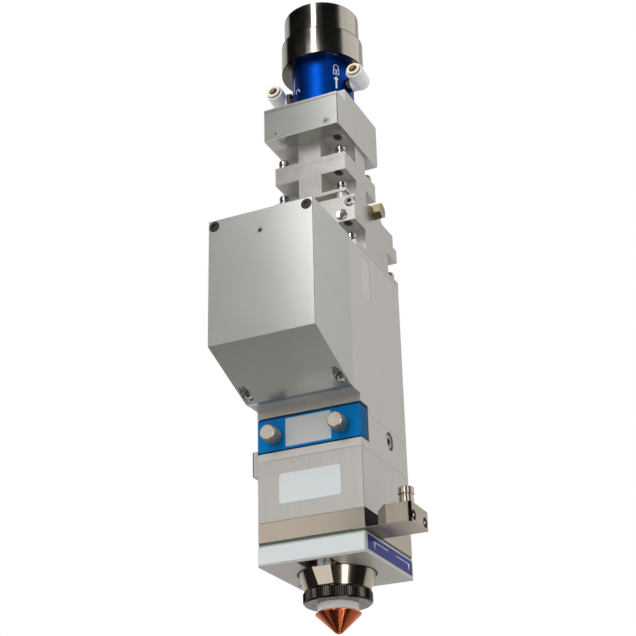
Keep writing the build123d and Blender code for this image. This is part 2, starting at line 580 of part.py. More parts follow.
# Two screws in the front wall of the adapter and a hexagon plug in its right flank.
wall_screw_x, wall_screw_z = half_width - 3.2, adapter_ceiling + 13.7
wall_plug_x, wall_plug_z = half_width - 9.1, adapter_ceiling + 5.0
adapter -= rod_y(3.7, adapter_front - 1, adapter_front + 2.4, wall_screw_x, wall_screw_z)
adapter -= rod_y(m4[0] + hole_slack, adapter_front, adapter_front + 10.5, wall_screw_x, wall_screw_z)
adapter -= rod_y(2.5 + hole_slack, adapter_front - 1, adapter_front + 8.5, wall_plug_x, wall_plug_z)
plug_axis_z = adapter_top + 3.2
adapter -= rod_x(3.0 + hole_slack, half_width - 9.0, half_width + 1, 0, plug_axis_z)
save(adapter, "adapter_block")
wall_screw = cap_screw((m4[0], 3.5, 3.4), 8.0)
save(Pos(wall_screw_x, adapter_front + 2.4, wall_screw_z) * facing_front(wall_screw), "wall_screw")
wall_plug = turned([(0, -8.0), (2.5, -8.0), (2.5, 0), (3.7, 0), (3.7, 1.0), (3.2, 1.6), (1.2, 1.2), (0, 0.6)])
save(Pos(wall_plug_x, adapter_front, wall_plug_z) * facing_front(wall_plug), "wall_plug")
flank_plug = Cylinder(3.0, 8.6, align=(Align.CENTER, Align.CENTER, Align.MAX))
flank_head = hexagon(10.0, 5.7) & turned([(0, 0), (7, 0), (7, 5.0), (5.0, 5.7), (0, 5.7)])
save(Pos(half_width, 0, plug_axis_z) * facing_right(Rot(0, 0, 90) * (flank_plug + flank_head)), "flank_plug")

# Pillar screws that stand in the corner pockets: a washer, a waist and a domed head with a socket.
pillar_head_radius = 3.35
pillar_washer_radius = 3.6
pillar_height = 6.9
pillar_shank = 9.0


def pillar(shank):
    waist = pillar_head_radius - 0.9
    body = turned([(0, -shank), (2.0, -shank), (2.0, 0), (pillar_washer_radius, 0),
                   (pillar_washer_radius, 0.9), (waist, 1.7), (waist, 2.3), (pillar_head_radius, 2.9),
                   (pillar_head_radius, pillar_height - 1.5), (pillar_head_radius - 0.35, pillar_height - 0.7),
                   (pillar_head_radius - 1.1, pillar_height - 0.1), (pillar_head_radius - 1.5, pillar_height),
                   (0, pillar_height)])
    return body - Pos(0, 0, pillar_height - 2.6) * hexagon(3.0, 4)


# Seat ring between the adapter and the collimator block.
seat_ring = turned([(narrow_beam_radius + 0.5, adapter_top), (seat_radius, adapter_top),
                    (seat_radius, collimator_bottom), (narrow_beam_radius + 0.5, collimator_bottom)])
save(seat_ring, "seat_ring")

# Collimator block: square flanges joined by a cross shaped column with four corner pockets.
collimator_half = 25.9
column_half = 8.3
collimator_floor = collimator_bottom + 2.4
collimator_ceiling = collimator_floor + 14.4
collimator_top = collimator_ceiling + 9.9
collimator = bevelled(-collimator_half, collimator_half, -collimator_half, collimator_half,
                      collimator_bottom, collimator_top, 0.1)


def corner_pockets(body, half, z0, z1):
    """Mill the four corners away between two heights, the inner corner rounded."""
    for sx in (-1, 1):
        for sy in (-1, 1):
            x0, x1 = sorted((sx * column_half, sx * (half + 12)))
            y0, y1 = sorted((sy * column_half, sy * (half + 12)))
            body -= block(x0, x1, y0, y1, z0, z1, pocket_corner)
    return body


collimator = corner_pockets(collimator, collimator_half, collimator_floor, collimator_ceiling)
collimator -= rod(narrow_beam_radius, collimator_bottom - 1, collimator_top + 1)
for x, y in pillar_spots:
    collimator -= rod(2.0 + hole_slack, collimator_bottom - 1, collimator_floor + 1, x, y)
    collimator -= rod(2.0 + hole_slack, collimator_top - 6.0, collimator_top + 1, x, y)
save(collimator, "collimator_block")

# Adjuster block: thin base flange, cross column, and a wide head that carries the fibre collar.
adjuster_half = 27.4
adjuster_back = 28.5
adjuster_floor = collimator_top + 3.5
adjuster_ceiling = adjuster_floor + 14.5
adjuster_top = adjuster_ceiling + 34.5
base_half = collimator_half
adjuster = block(-base_half, base_half, -base_half, base_half, collimator_top, adjuster_ceiling)
adjuster = corner_pockets(adjuster, base_half, adjuster_floor, adjuster_ceiling)
head = block(-adjuster_half, adjuster_half, -base_half, adjuster_back, adjuster_ceiling, adjuster_top)
head = fillet(head.edges().filter_by(Axis.X).group_by(Axis.Z)[0].sort_by(Axis.Y)[-1], 3.0)
head = chamfer(head.faces().sort_by(Axis.Z)[-1].edges(), edge_break)
adjuster += head
lens_bore = 16.0
adjuster -= rod(narrow_beam_radius, collimator_top - 1, adjuster_top + 1)
adjuster -= rod(lens_bore + hole_slack, adjuster_ceiling + 3.0, adjuster_top + 1)
for x, y in pillar_spots:
    adjuster -= rod(2.0 + hole_slack, collimator_top - 1, adjuster_floor + 1, x, y)
front_plate_y = -39.4
front_plate_top = adjuster_ceiling + 25.2
front_screw_x, front_screw_z = 18.6, adjuster_ceiling + 3.9
for x in (-front_screw_x, front_screw_x):
    adjuster -= rod_y(1.5 + hole_slack, -base_half - 1, -base_half + 7.0, x, front_screw_z)
save(adjuster, "adjuster_block")
pillar_places = [(x, y, adapter_floor) for x, y in adapter_screw_spots]
pillar_places += [(x, y, z) for z in (collimator_floor, adjuster_floor) for x, y in pillar_spots]
save(group(Pos(*place) * pillar(pillar_shank) for place in pillar_places), "pillar_screws")

front_plate = block(-adjuster_half, adjuster_half, front_plate_y, -base_half, adjuster_ceiling, front_plate_top)
front_plate = chamfer(front_plate.faces().sort_by(Axis.Y)[0].edges(), edge_break)
for x in (-front_screw_x, front_screw_x):
    front_plate -= rod_y(1.5 + hole_slack, front_plate_y - 1, -base_half + 1, x, front_screw_z)
    front_plate -= rod_y(2.75 + hole_slack, front_plate_y - 1, front_plate_y + 1.6, x, front_screw_z)
save(front_plate, "adjuster_cover")
cover_pin = (Cylinder(1.5, -front_plate_y - base_half + 4.4, align=(Align.CENTER, Align.CENTER, Align.MAX))
             + Cylinder(2.75, 1.5, align=(Align.CENTER, Align.CENTER, Align.MIN)))
cover_pin -= Pos(0, 0, 0.5) * hexagon(2.0, 2)
save(group(Pos(x, front_plate_y + 1.6, front_screw_z) * facing_front(cover_pin)
           for x in (-front_screw_x, front_screw_x)), "adjuster_cover_screws")

# Collimating lens in its holder, inside the head of the adjuster block.
holder_bottom = adjuster_ceiling + 3.0
holder_top = holder_bottom + 18.0
holder_lens_z = holder_bottom + 6.0
holder = rod(lens_bore, holder_bottom, holder_top) - rod(narrow_beam_radius, holder_bottom - 1, holder_top + 1)
holder -= rod(14.0 + hole_slack, holder_lens_z, holder_top + 1)
save(holder, "lens_holder")
collimator_lens = rod(14.0, holder_lens_z, holder_lens_z + 6.0)
small_ball = (14.0 ** 2 + sag ** 2) / (2 * sag)
collimator_lens &= Pos(0, 0, holder_lens_z + small_ball) * Sphere(small_ball)
save(collimator_lens, "collimator_lens")

# Blue fibre collar with a socket for the fibre plug.
collar_radius = 21.8
ring_bottom = adjuster_top + 35.1
spigot_radius = 20.0
spigot_top = ring_bottom + 40.5
plug_bore = 12.5
collar = turned([
    (beam_radius, adjuster_top), (collar_radius, adjuster_top), (collar_radius, ring_bottom - 0.2),
    (spigot_radius, ring_bottom - 0.2), (spigot_radius, spigot_top), (16.0, spigot_top),
    (16.0, ring_bottom - 8.0), (beam_radius, ring_bottom - 8.0),
])
elbow_x, elbow_y = 30.8, -4.2
elbow_z = adjuster_top + 18.2
port_radius = 2.9
for side in (-1, 1):
    x0, x1 = sorted((side * 15.5, side * 24.0))
    collar -= rod_x(port_radius + hole_slack, x0, x1, elbow_y, elbow_z)
save(collar, "fibre_collar")
liner_bottom = ring_bottom - 8.0
liner = turned([
    (plug_bore, liner_bottom + 6.0), (10.5, liner_bottom + 6.0), (10.5, liner_bottom), (15.95, liner_bottom),
    (15.95, spigot_top), (plug_bore, spigot_top),
])
save(liner, "plug_sleeve")

# Steel lock ring in two steps, with a lip over the end of the collar.
ring_low_radius = 29.1
ring_high_radius = 26.8
ring_step = ring_bottom + 23.0
ring_top = ring_bottom + 45.5
lock_ring = turned([
    (spigot_radius + turning_gap, ring_bottom), (ring_low_radius - 0.35, ring_bottom),
    (ring_low_radius, ring_bottom + 0.35), (ring_low_radius, ring_step - 0.7),
    (ring_low_radius - 0.7, ring_step), (ring_high_radius, ring_step), (ring_high_radius, ring_top - 1.0),
    (ring_high_radius - 1.0, ring_top), (15.0, ring_top), (14.4, ring_top - 0.6), (14.4, spigot_top + 0.3),
    (spigot_radius + turning_gap, spigot_top + 0.3),
])
for angle in (0, 120, 240):
    lock_ring -= Rot(0, 0, angle) * block(12.0, 17.4, -3.0, 3.0, spigot_top, ring_top + 1)
save(lock_ring, "lock_ring")

# Push in elbows on the collar: nickel stem, white body that swivels on it, cream release collar.
# Each is drawn round its swivel centre with its tube to the front, then tilted up.
tube_radius = 3.0
elbow_radius = 6.1
swivel_radius = 5.7
elbow_length = 12.3
elbow_tilt = 11.0
swivel_length = 6.2
release_stand_off = 0.7
release_rim = 1.1
stem_end = 1.5
stems = []
for side, name in ((-1, "left"), (1, "right")):
    centre = Pos(side * elbow_x, elbow_y, elbow_z) * Rot(-elbow_tilt, 0, 0)
    hex_end = elbow_x - swivel_length
    stem = rod_x(port_radius, 16.2, 22.0, 0, 0) + rod_x(3.6, 22.0, elbow_x + stem_end, 0, 0)
    stem += Pos(22.0, 0, 0) * Rot(0, 90, 0) * hexagon(9.4, hex_end - 22.0 - 0.15)
    stem -= rod_x(1.6, 15, elbow_x + stem_end + 1, 0, 0)
    stems.append(Pos(0, elbow_y, elbow_z) * Rot(0, 0, 0 if side > 0 else 180) * stem)
    tube_end = rod_y(elbow_radius, -elbow_length, 0, 0, 0)
    tube_end = chamfer(tube_end.edges().filter_by(GeomType.CIRCLE).sort_by(Axis.Y)[0], 0.4)
    body = tube_end + Sphere(elbow_radius)
    body += rod_x(swivel_radius, *sorted((-side * swivel_length, 0)), 0, 0)
    body -= rod_x(3.6 + turning_gap, *sorted((-side * (swivel_length + 1), side * (stem_end + turning_gap))), 0, 0)
    body -= rod_y(4.0 + turning_gap, -elbow_length - 1, -4.3, 0, 0)
    body -= rod_y(5.2, -elbow_length - 1, -elbow_length + 0.9, 0, 0)
    save(centre * body, f"elbow_body_{name}")
    face = -elbow_length - release_stand_off
    release = rod_y(4.0, face, -elbow_length + 6.0, 0, 0) + rod_y(4.8, face - release_rim, face, 0, 0)
    release -= rod_y(tube_radius + 0.08, face - 2, -elbow_length + 7, 0, 0)
    save(centre * release, f"release_collar_{name}")
save(group(stems), "elbow_stems")

# Blank labels, thin plates on the faces.
save(block(-half_width + 0.6, half_width - 0.8, front - label_thickness, front, block_bottom + 1.5,
           block_bottom + 11.8), "strip_label")
save(block(half_width, half_width + label_thickness, front + 3.6, back - 2.0, block_bottom + 2.6,
           block_bottom + 11.6), "flank_label")


def rounded_label(x0, x1, z0, z1, corner):
    sheet = block(x0, x1, front - label_thickness, front, z0, z1)
    return fillet(sheet.edges().filter_by(Axis.Y), corner)


save(rounded_label(-20.4, 20.5, middle_bottom + 10.2, middle_bottom + 29.2, 2.0), "middle_label")
save(rounded_label(-15.6, 15.1, drawer_plate_bottom + 2.0, drawer_plate_top - 1.8, 0.8), "drawer_label")
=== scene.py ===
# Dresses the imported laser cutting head: a finish for every piece, small printed and turned details,
# and a plain pale studio with the camera at the photograph's place.
from math import atan2, cos, hypot, pi, radians, sin

import bpy
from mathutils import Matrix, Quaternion, Vector


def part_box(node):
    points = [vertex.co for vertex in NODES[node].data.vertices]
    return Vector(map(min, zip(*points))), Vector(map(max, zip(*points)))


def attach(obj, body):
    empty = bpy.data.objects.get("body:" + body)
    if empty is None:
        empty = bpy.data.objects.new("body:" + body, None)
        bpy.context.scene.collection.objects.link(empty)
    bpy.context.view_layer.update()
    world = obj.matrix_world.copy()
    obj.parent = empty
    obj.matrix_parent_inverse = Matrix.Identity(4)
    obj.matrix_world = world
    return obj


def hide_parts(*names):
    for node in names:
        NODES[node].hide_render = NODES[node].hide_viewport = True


bl_info = {
    "name": "Laser Cutting Head Finishes",
    "version": (1, 0, 0),
    "blender": (4, 5, 0),
    "location": "3D View > Sidebar > Cutting Head",
    "description": "Finishes the pieces of a laser cutting head and sets up its studio",
    "category": "Object",
}

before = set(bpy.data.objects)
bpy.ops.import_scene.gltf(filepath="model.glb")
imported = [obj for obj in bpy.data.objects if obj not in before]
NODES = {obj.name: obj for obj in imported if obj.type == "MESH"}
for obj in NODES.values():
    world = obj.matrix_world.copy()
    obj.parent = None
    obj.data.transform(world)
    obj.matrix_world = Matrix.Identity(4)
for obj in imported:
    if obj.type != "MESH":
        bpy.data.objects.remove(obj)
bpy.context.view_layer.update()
MM = 0.001


def shown(red, green, blue):
    """Linear colour of a colour given as it shows on a screen, from 0 to 255."""
    def linear(value):
        value /= 255
        return value / 12.92 if value <= 0.04045 else ((value + 0.055) / 1.055) ** 2.4
    return (linear(red), linear(green), linear(blue))


def colour_property(name, description, default):
    return bpy.props.FloatVectorProperty(name=name, description=description, default=default,
                                         subtype="COLOR", size=3, min=0.0, max=1.0)


class HeadColours(bpy.types.PropertyGroup):
    aluminium: colour_property("Aluminium", "Clear anodised aluminium of the blocks", shown(203, 199, 194))
    cover: colour_property("Cover", "Brushed aluminium of the drive cover", shown(203, 204, 198))
    steel: colour_property("Steel", "Turned steel of the lock ring", shown(180, 174, 163))
    nickel: colour_property("Nickel", "Warm nickel plating of band, arm and sensor", shown(196, 184, 168))
    dark_nickel: colour_property("Dark nickel", "Nickel of the knurled ring nut", shown(104, 95, 89))
    collar_blue: colour_property("Collar blue", "Dyed anodising of the fibre collar", shown(6, 70, 168))
    drawer_blue: colour_property("Drawer blue", "Dyed anodising of the window drawer", shown(0, 124, 198))
    copper: colour_property("Copper", "Turned copper of the nozzle", shown(228, 122, 74))
    ceramic: colour_property("Ceramic", "Fired ceramic of the nozzle holder", shown(246, 245, 242))
    elbow_white: colour_property("Elbow white", "Moulded bodies of the elbows", shown(236, 236, 238))
    elbow_cream: colour_property("Elbow cream", "Release collars of the elbows", shown(232, 225, 198))
    screw: colour_property("Screw", "Bright plated screws", shown(184, 178, 180))
    thumb_nickel: colour_property("Thumb nickel", "Warm nickel of the thumb screws", shown(222, 215, 200))
    yellow_zinc: colour_property("Yellow zinc", "Passivated hexagon plug", shown(176, 165, 128))
    brass: colour_property("Brass", "Contact pin", shown(214, 184, 120))
    seal: colour_property("Seal", "Flat seal between the blocks", shown(72, 92, 80))
    black: colour_property("Black", "Moulded cover plugs", shown(30, 27, 27))
    # Painted shade: colour of the near black sheet in the gap beside the side arm.
    arm_gap_shade: colour_property("Shield", "Dark shield beside the side arm", shown(9, 5, 5))
    grip: colour_property("Grip", "Grip rings inside the elbows", shown(112, 90, 66))
    label: colour_property("Label", "Film of the pale labels", shown(214, 220, 220))
    label_grey: colour_property("Grey label", "Film of the drawer label", shown(196, 200, 199))
    label_violet: colour_property("Violet label", "Film of the flank label", shown(54, 60, 136))
    label_navy: colour_property("Navy corner", "Corner field of the flank label", shown(10, 6, 104))
    # Also the white of the painted glint on the ends of the arm pins.
    print_and_glint_white: colour_property("White print", "Printed marks", shown(226, 230, 240))
    glass: colour_property("Glass", "Coated lenses and window", (0.93, 0.97, 0.98))
    # Painted shade: colour of the dark patches in the pocket ceilings over the right front pillar screws.
    pocket_shade: colour_property("Stain", "Dark stains in the corner pockets", shown(58, 48, 46))


class HeadMarks(bpy.types.PropertyGroup):
    print_proud: bpy.props.FloatProperty(name="Print height", description="How far printed marks stand proud",
                                         default=0.00003, min=0.0, unit="LENGTH", precision=5)
    line_width: bpy.props.FloatProperty(name="Line width", description="Width of the printed lines",
                                        default=0.00045, min=0.0, unit="LENGTH", precision=5)


class StudioSettings(bpy.types.PropertyGroup):
    camera_place: bpy.props.FloatVectorProperty(
        name="Camera place", description="Where the camera stands", size=3, subtype="TRANSLATION",
        default=(0.3492, -0.7873, -0.1975), unit="LENGTH", precision=4)
    camera_aim: bpy.props.FloatVectorProperty(
        name="Camera aim", description="Point in the middle of the picture", size=3, subtype="TRANSLATION",
        default=(-0.0063, -0.0050, 0.2077), unit="LENGTH", precision=4)
    camera_roll: bpy.props.FloatProperty(name="Camera roll", description="Turn about the line of sight",
                                         default=radians(-1.46), subtype="ANGLE")
    camera_lens: bpy.props.FloatProperty(name="Lens", description="Focal length on a 36 mm sensor",
                                         default=81.83, min=10.0, unit="CAMERA")
    floor_drop: bpy.props.FloatProperty(name="Floor drop", description="Height of the nozzle over the floor",
                                        default=0.6, min=0.0, unit="LENGTH")
    ambient: bpy.props.FloatProperty(name="Ambient", description="Even light of the room on matt surfaces",
                                     default=0.62, min=0.0)


def studio():
    return bpy.context.scene.head_studio


def colours():
    return bpy.context.scene.head_colours


# Small helpers that lay out shader nodes.

# Sockets of a Mix node that mixes colours.
MIX_SHARE, MIX_FIRST, MIX_SECOND, MIX_RESULT = 0, 6, 7, 2
# Range that holds nearly all values of a noise texture.
NOISE_LOW, NOISE_HIGH = 0.3, 0.7


def new_finish(name, colour, metallic=0.0, roughness=0.5, **sockets):
    """Material with its principled shader set; returns it with its node tree and shader."""
    finish = bpy.data.materials.new(name)
    finish.use_nodes = True
    tree = finish.node_tree
    shader = tree.nodes["Principled BSDF"]
    shader.inputs["Base Color"].default_value = (*colour, 1.0)
    shader.inputs["Metallic"].default_value = metallic
    shader.inputs["Roughness"].default_value = roughness
    for socket, value in sockets.items():
        shader.inputs[socket.replace("_", " ")].default_value = value
    return finish, tree, shader


def add_node(tree, kind, **settings):
    node = tree.nodes.new(kind)
    for key, value in settings.items():
        setattr(node, key, value)
    return node


def object_place(tree, scale=(1.0, 1.0, 1.0), centre=(0.0, 0.0, 0.0)):
    """Object coordinates moved so that centre is their origin, then scaled."""
    coordinates = add_node(tree, "ShaderNodeTexCoord")
    mapping = add_node(tree, "ShaderNodeMapping")
    mapping.inputs["Scale"].default_value = scale
    mapping.inputs["Location"].default_value = [-c * s for c, s in zip(centre, scale)]
    tree.links.new(coordinates.outputs["Object"], mapping.inputs["Vector"])
    return mapping.outputs["Vector"]


def noise(tree, place, scale=1.0, detail=3.0, roughness=0.5):
    """Noise texture; on object coordinates its scale is in cells to the metre."""
    texture = add_node(tree, "ShaderNodeTexNoise")
    texture.inputs["Scale"].default_value = scale
    texture.inputs["Detail"].default_value = detail
    texture.inputs["Roughness"].default_value = roughness
    tree.links.new(place, texture.inputs["Vector"])
    return texture.outputs["Fac"]


def compute(tree, operation, first, second=None):
    """Result of a Math node on sockets or plain numbers."""
    node = add_node(tree, "ShaderNodeMath", operation=operation)
    for socket, value in zip(node.inputs, (first, second)):
        if isinstance(value, (int, float)):
            socket.default_value = value
        elif value is not None:
            tree.links.new(value, socket)
    return node.outputs["Value"]


def vector(tree, operation, first, second=None):
    """Result of a Vector Math node on a socket and, where it takes two, a plain vector."""
    node = add_node(tree, "ShaderNodeVectorMath", operation=operation)
    tree.links.new(first, node.inputs[0])
    if second is not None:
        node.inputs[1].default_value = second
    return node.outputs["Value" if operation == "LENGTH" else "Vector"]


def greatest(tree, first, *others):
    for value in others:
        first = compute(tree, "MAXIMUM", first, value)
    return first


def across(tree, first, second):
    """Distance from an axis, from the two coordinates that run across it."""
    squares = [compute(tree, "MULTIPLY", value, value) for value in (first, second)]
    return compute(tree, "SQRT", compute(tree, "ADD", *squares))


def axes(tree, place):
    """The outputs X, Y and Z of a vector."""
    node = add_node(tree, "ShaderNodeSeparateXYZ")
    tree.links.new(place, node.inputs[0])
    return node.outputs


def spread(tree, value, low, high, out_low=0.0, out_high=1.0):
    """Maps a value from one range to another, held at its ends."""
    node = add_node(tree, "ShaderNodeMapRange")
    for socket, number in zip(("From Min", "From Max", "To Min", "To Max"), (low, high, out_low, out_high)):
        node.inputs[socket].default_value = number
    tree.links.new(value, node.inputs["Value"])
    return node.outputs["Result"]


def vary(tree, texture, out_low=0.0, out_high=1.0):
    """Maps a noise texture to a range."""
    return spread(tree, texture, NOISE_LOW, NOISE_HIGH, out_low, out_high)


def mix(tree, share, first, second):
    """Colour that runs from first to second, each a colour or a socket, as share goes from 0 to 1."""
    node = add_node(tree, "ShaderNodeMix", data_type="RGBA")
    tree.links.new(share, node.inputs[MIX_SHARE])
    for socket, colour in ((node.inputs[MIX_FIRST], first), (node.inputs[MIX_SECOND], second)):
        if isinstance(colour, bpy.types.NodeSocket):
            tree.links.new(colour, socket)
        else:
            socket.default_value = (*colour, 1.0)
    return node.outputs[MIX_RESULT]


def shade(colour, factor):
    return tuple(min(1.0, channel * factor) for channel in colour)


def mottle(tree, shader, share, colour, dark, light):
    """Lets the base colour run between two shades of a colour."""
    tree.links.new(mix(tree, share, shade(colour, dark), shade(colour, light)), shader.inputs["Base Color"])


def raise_surface(tree, shader, height, distance):
    """Bumps a surface by a height, of which 1 stands for the distance in metres."""
    bump = add_node(tree, "ShaderNodeBump")
    bump.inputs["Distance"].default_value = distance
    tree.links.new(height, bump.inputs["Height"])
    tree.links.new(bump.outputs["Normal"], shader.inputs["Normal"])


def mark(finish, colour, low, high, rounded=False):
    """Lays a plain colour over a finish between two corners in millimetres: dark seams and lines, painted shade and
    painted light.

    A rounded mark fills the ellipsoid in the box, with a soft edge."""
    tree = finish.node_tree
    base = tree.nodes["Principled BSDF"].inputs["Base Color"]
    centre = [(a + b) / 2 * MM for a, b in zip(low, high)]
    scale = [2 / ((b - a) * MM) for a, b in zip(low, high)]
    place = object_place(tree, scale, centre)
    if rounded:
        inside = spread(tree, vector(tree, "LENGTH", place), 0.6, 1.0, 1.0, 0.0)
    else:
        reach = axes(tree, vector(tree, "ABSOLUTE", place))
        inside = compute(tree, "LESS_THAN", greatest(tree, *[reach[axis] for axis in "XYZ"]), 1.0)
    tree.links.new(mix(tree, inside, base.links[0].from_socket, colour), base)


def mark_all(finish, colour, rows):
    """Lays shades of a colour over a finish, from rows of brightness and two corners in millimetres."""
    for brightness, low, high in rows:
        mark(finish, shade(colour, brightness), low, high)


# Finishes.

def milled_aluminium(name, colour, lay, roughness=0.42, metallic=0.65, cut=1.0):
    """Clear anodised aluminium with faint cutter lines along lay, a scale with a small value on one axis.

    Cut is how deep the lines are against those of a milled block."""
    finish, tree, shader = new_finish(name, colour, metallic=metallic, roughness=roughness)
    lines = noise(tree, object_place(tree, lay), detail=4.0, roughness=0.6)
    clouds = noise(tree, object_place(tree), scale=55.0, detail=2.0)
    grain = noise(tree, object_place(tree), scale=4200.0, detail=2.0)
    mottle(tree, shader, vary(tree, lines), colour, 1 - 0.06 * cut, 1 + 0.03 * cut)
    uneven = compute(tree, "ADD", vary(tree, clouds, roughness - 0.01, roughness + 0.01),
                     vary(tree, lines, -0.03 * cut, 0.03 * cut))
    tree.links.new(uneven, shader.inputs["Roughness"])
    height = compute(tree, "ADD", compute(tree, "MULTIPLY", lines, cut),
                     compute(tree, "MULTIPLY", grain, 0.5 * cut))
    raise_surface(tree, shader, height, 0.000006)
    return finish


# Wave of the arcs that the end mill leaves, in radians to the metre: an arc in each 0.9 mm.
ARC_WAVE = 7000.0


def pocket_milled_aluminium(name, colour, pocket_centre, outside):
    """Aluminium with the arcs of an end mill round each of four corner pockets.

    Outside is how far the outer faces are from the axis: they are fly cut and brighter than the pockets."""
    finish, tree, shader = new_finish(name, colour, metallic=0.9, roughness=0.3)
    mirrored = vector(tree, "ABSOLUTE", object_place(tree))
    centred = vector(tree, "SUBTRACT", mirrored, (pocket_centre, pocket_centre, 0.0))
    distance = vector(tree, "LENGTH", vector(tree, "MULTIPLY", centred, (1.0, 1.0, 0.0)))
    arcs = compute(tree, "SINE", compute(tree, "MULTIPLY", distance, ARC_WAVE))
    speckle = noise(tree, object_place(tree), scale=1300.0)
    clouds = noise(tree, object_place(tree), scale=140.0)
    mottle(tree, shader, spread(tree, speckle, 0.35, 0.65), colour, 0.9, 1.04)
    sides = axes(tree, mirrored)
    outer = spread(tree, greatest(tree, sides["X"], sides["Y"]), outside - 1.2 * MM, outside - 0.6 * MM)
    tree.links.new(spread(tree, outer, 0.0, 1.0, 0.5, 0.92), shader.inputs["Metallic"])
    duller = spread(tree, outer, 0.0, 1.0, 0.12, 0.0)
    tree.links.new(compute(tree, "ADD", duller, vary(tree, clouds, 0.27, 0.34)), shader.inputs["Roughness"])
    height = compute(tree, "ADD", compute(tree, "MULTIPLY", arcs, 0.35),
                     compute(tree, "MULTIPLY", speckle, 0.5))
    raise_surface(tree, shader, height, 0.000008)
    return finish


def turned_metal(name, colour, roughness, depth=0.000003, streaks=0.0):
    """Metal from the lathe: fine rings about the Z axis on walls and end faces alike.

    Streaks is how much the polish varies round the axis, as it does where a cloth has run along the piece."""
    finish, tree, shader = new_finish(name, colour, metallic=1.0, roughness=roughness)
    place = axes(tree, object_place(tree))
    rings = add_node(tree, "ShaderNodeCombineXYZ")
    tree.links.new(across(tree, place["X"], place["Y"]), rings.inputs["X"])
    tree.links.new(place["Z"], rings.inputs["Z"])
    grooves = noise(tree, rings.outputs[0], scale=4000.0, roughness=0.6)
    smears = noise(tree, object_place(tree), scale=90.0, detail=2.0)
    uneven = compute(tree, "ADD", vary(tree, grooves, roughness * 0.8, roughness * 1.25),
                     vary(tree, smears, -0.02, 0.03))
    tree.links.new(uneven, shader.inputs["Roughness"])
    polish = add_node(tree, "ShaderNodeCombineXYZ")
    tree.links.new(compute(tree, "ARCTAN2", place["Y"], place["X"]), polish.inputs["X"])
    wiped = noise(tree, polish.outputs[0], scale=26.0, detail=5.0, roughness=0.75)
    rows = compute(tree, "MULTIPLY", spread(tree, grooves, 0.35, 0.65), 1.0 - streaks)
    columns = compute(tree, "MULTIPLY", spread(tree, wiped, 0.32, 0.68), streaks)
    mottle(tree, shader, compute(tree, "ADD", rows, columns), colour,
           0.94 - 0.25 * streaks, 1.03 + 0.15 * streaks)
    raise_surface(tree, shader, grooves, depth)
    return finish


def plated_metal(name, colour, roughness, depth=0.000004, metallic=1.0):
    """Plated metal with a fine even grain and slightly uneven gloss."""
    finish, tree, shader = new_finish(name, colour, metallic=metallic, roughness=roughness)
    speckle = noise(tree, object_place(tree), scale=1500.0, detail=2.0)
    clouds = noise(tree, object_place(tree), scale=110.0)
    mottle(tree, shader, vary(tree, clouds), colour, 0.92, 1.05)
    tree.links.new(vary(tree, clouds, roughness * 0.85, roughness * 1.2), shader.inputs["Roughness"])
    raise_surface(tree, shader, speckle, depth)
    return finish


def knurled_metal(name, colour, roughness, axis, centre, crest, groove, groove_shade, teeth=0, cross=0.0):
    """Plated metal whose teeth round an axis have bright crests, and grooves darkened with painted shade.

    Crest and groove are radii; the argument after them is how bright the painted shade in the grooves is against
    the crests. Cross, when set, is the rise of the second cut, which makes diamonds of the teeth."""
    finish, tree, shader = new_finish(name, colour, metallic=1.0, roughness=roughness)
    place = object_place(tree)
    if cross:
        place = vector(tree, "ABSOLUTE", place)
    parts = axes(tree, vector(tree, "SUBTRACT", place, centre))
    flat = [parts[letter] for letter in "XYZ" if letter != axis]
    radius = across(tree, *flat)
    # Painted shade from the crests down to the bottom of the grooves, and none on the end faces inside them.
    deep = spread(tree, radius, groove, crest, 1.0, 0.0)
    rim = spread(tree, radius, groove - 0.4 * MM, groove - 0.2 * MM)
    groove_shaded = compute(tree, "MULTIPLY", deep, rim)
    if cross:
        turn = compute(tree, "MULTIPLY", compute(tree, "ARCTAN2", *flat), float(teeth))
        run = compute(tree, "MULTIPLY", parts[axis], cross)
        cuts = [compute(tree, "SINE", compute(tree, way, turn, run)) for way in ("ADD", "SUBTRACT")]
        lines = spread(tree, greatest(tree, *cuts), 0.35, 0.95)
        side = spread(tree, radius, groove - 0.3 * MM, groove - 0.1 * MM)
        lines = compute(tree, "MULTIPLY", lines, side)
        # The lines of the second cut get the same painted shade.
        groove_shaded = greatest(tree, groove_shaded, lines)
        raise_surface(tree, shader, compute(tree, "SUBTRACT", 1.0, lines), 0.0002)
    mottle(tree, shader, groove_shaded, colour, 1.0, groove_shade)
    smears = noise(tree, object_place(tree), scale=300.0, detail=2.0)
    tree.links.new(vary(tree, smears, roughness * 0.85, roughness * 1.2), shader.inputs["Roughness"])
    return finish


def moulded_plastic(name, colour, roughness, **sockets):
    """Plastic, rubber or ceramic: slightly mottled, with a fine moulded grain."""
    finish, tree, shader = new_finish(name, colour, roughness=roughness, **sockets)
    speckle = noise(tree, object_place(tree), scale=900.0)
    clouds = noise(tree, object_place(tree), scale=160.0, detail=2.0)
    mottle(tree, shader, vary(tree, clouds), colour, 0.96, 1.02)
    tree.links.new(vary(tree, speckle, roughness * 0.85, roughness * 1.15), shader.inputs["Roughness"])
    raise_surface(tree, shader, speckle, 0.000008)
    return finish


def dyed_aluminium(name, colour):
    """Matt dyed anodising with a fine grain."""
    finish, tree, shader = new_finish(name, colour, metallic=0.3, roughness=0.5, Specular_IOR_Level=0.1)
    grain = noise(tree, object_place(tree), scale=1800.0)
    mottle(tree, shader, vary(tree, grain), colour, 0.92, 1.06)
    raise_surface(tree, shader, grain, 0.000005)
    return finish


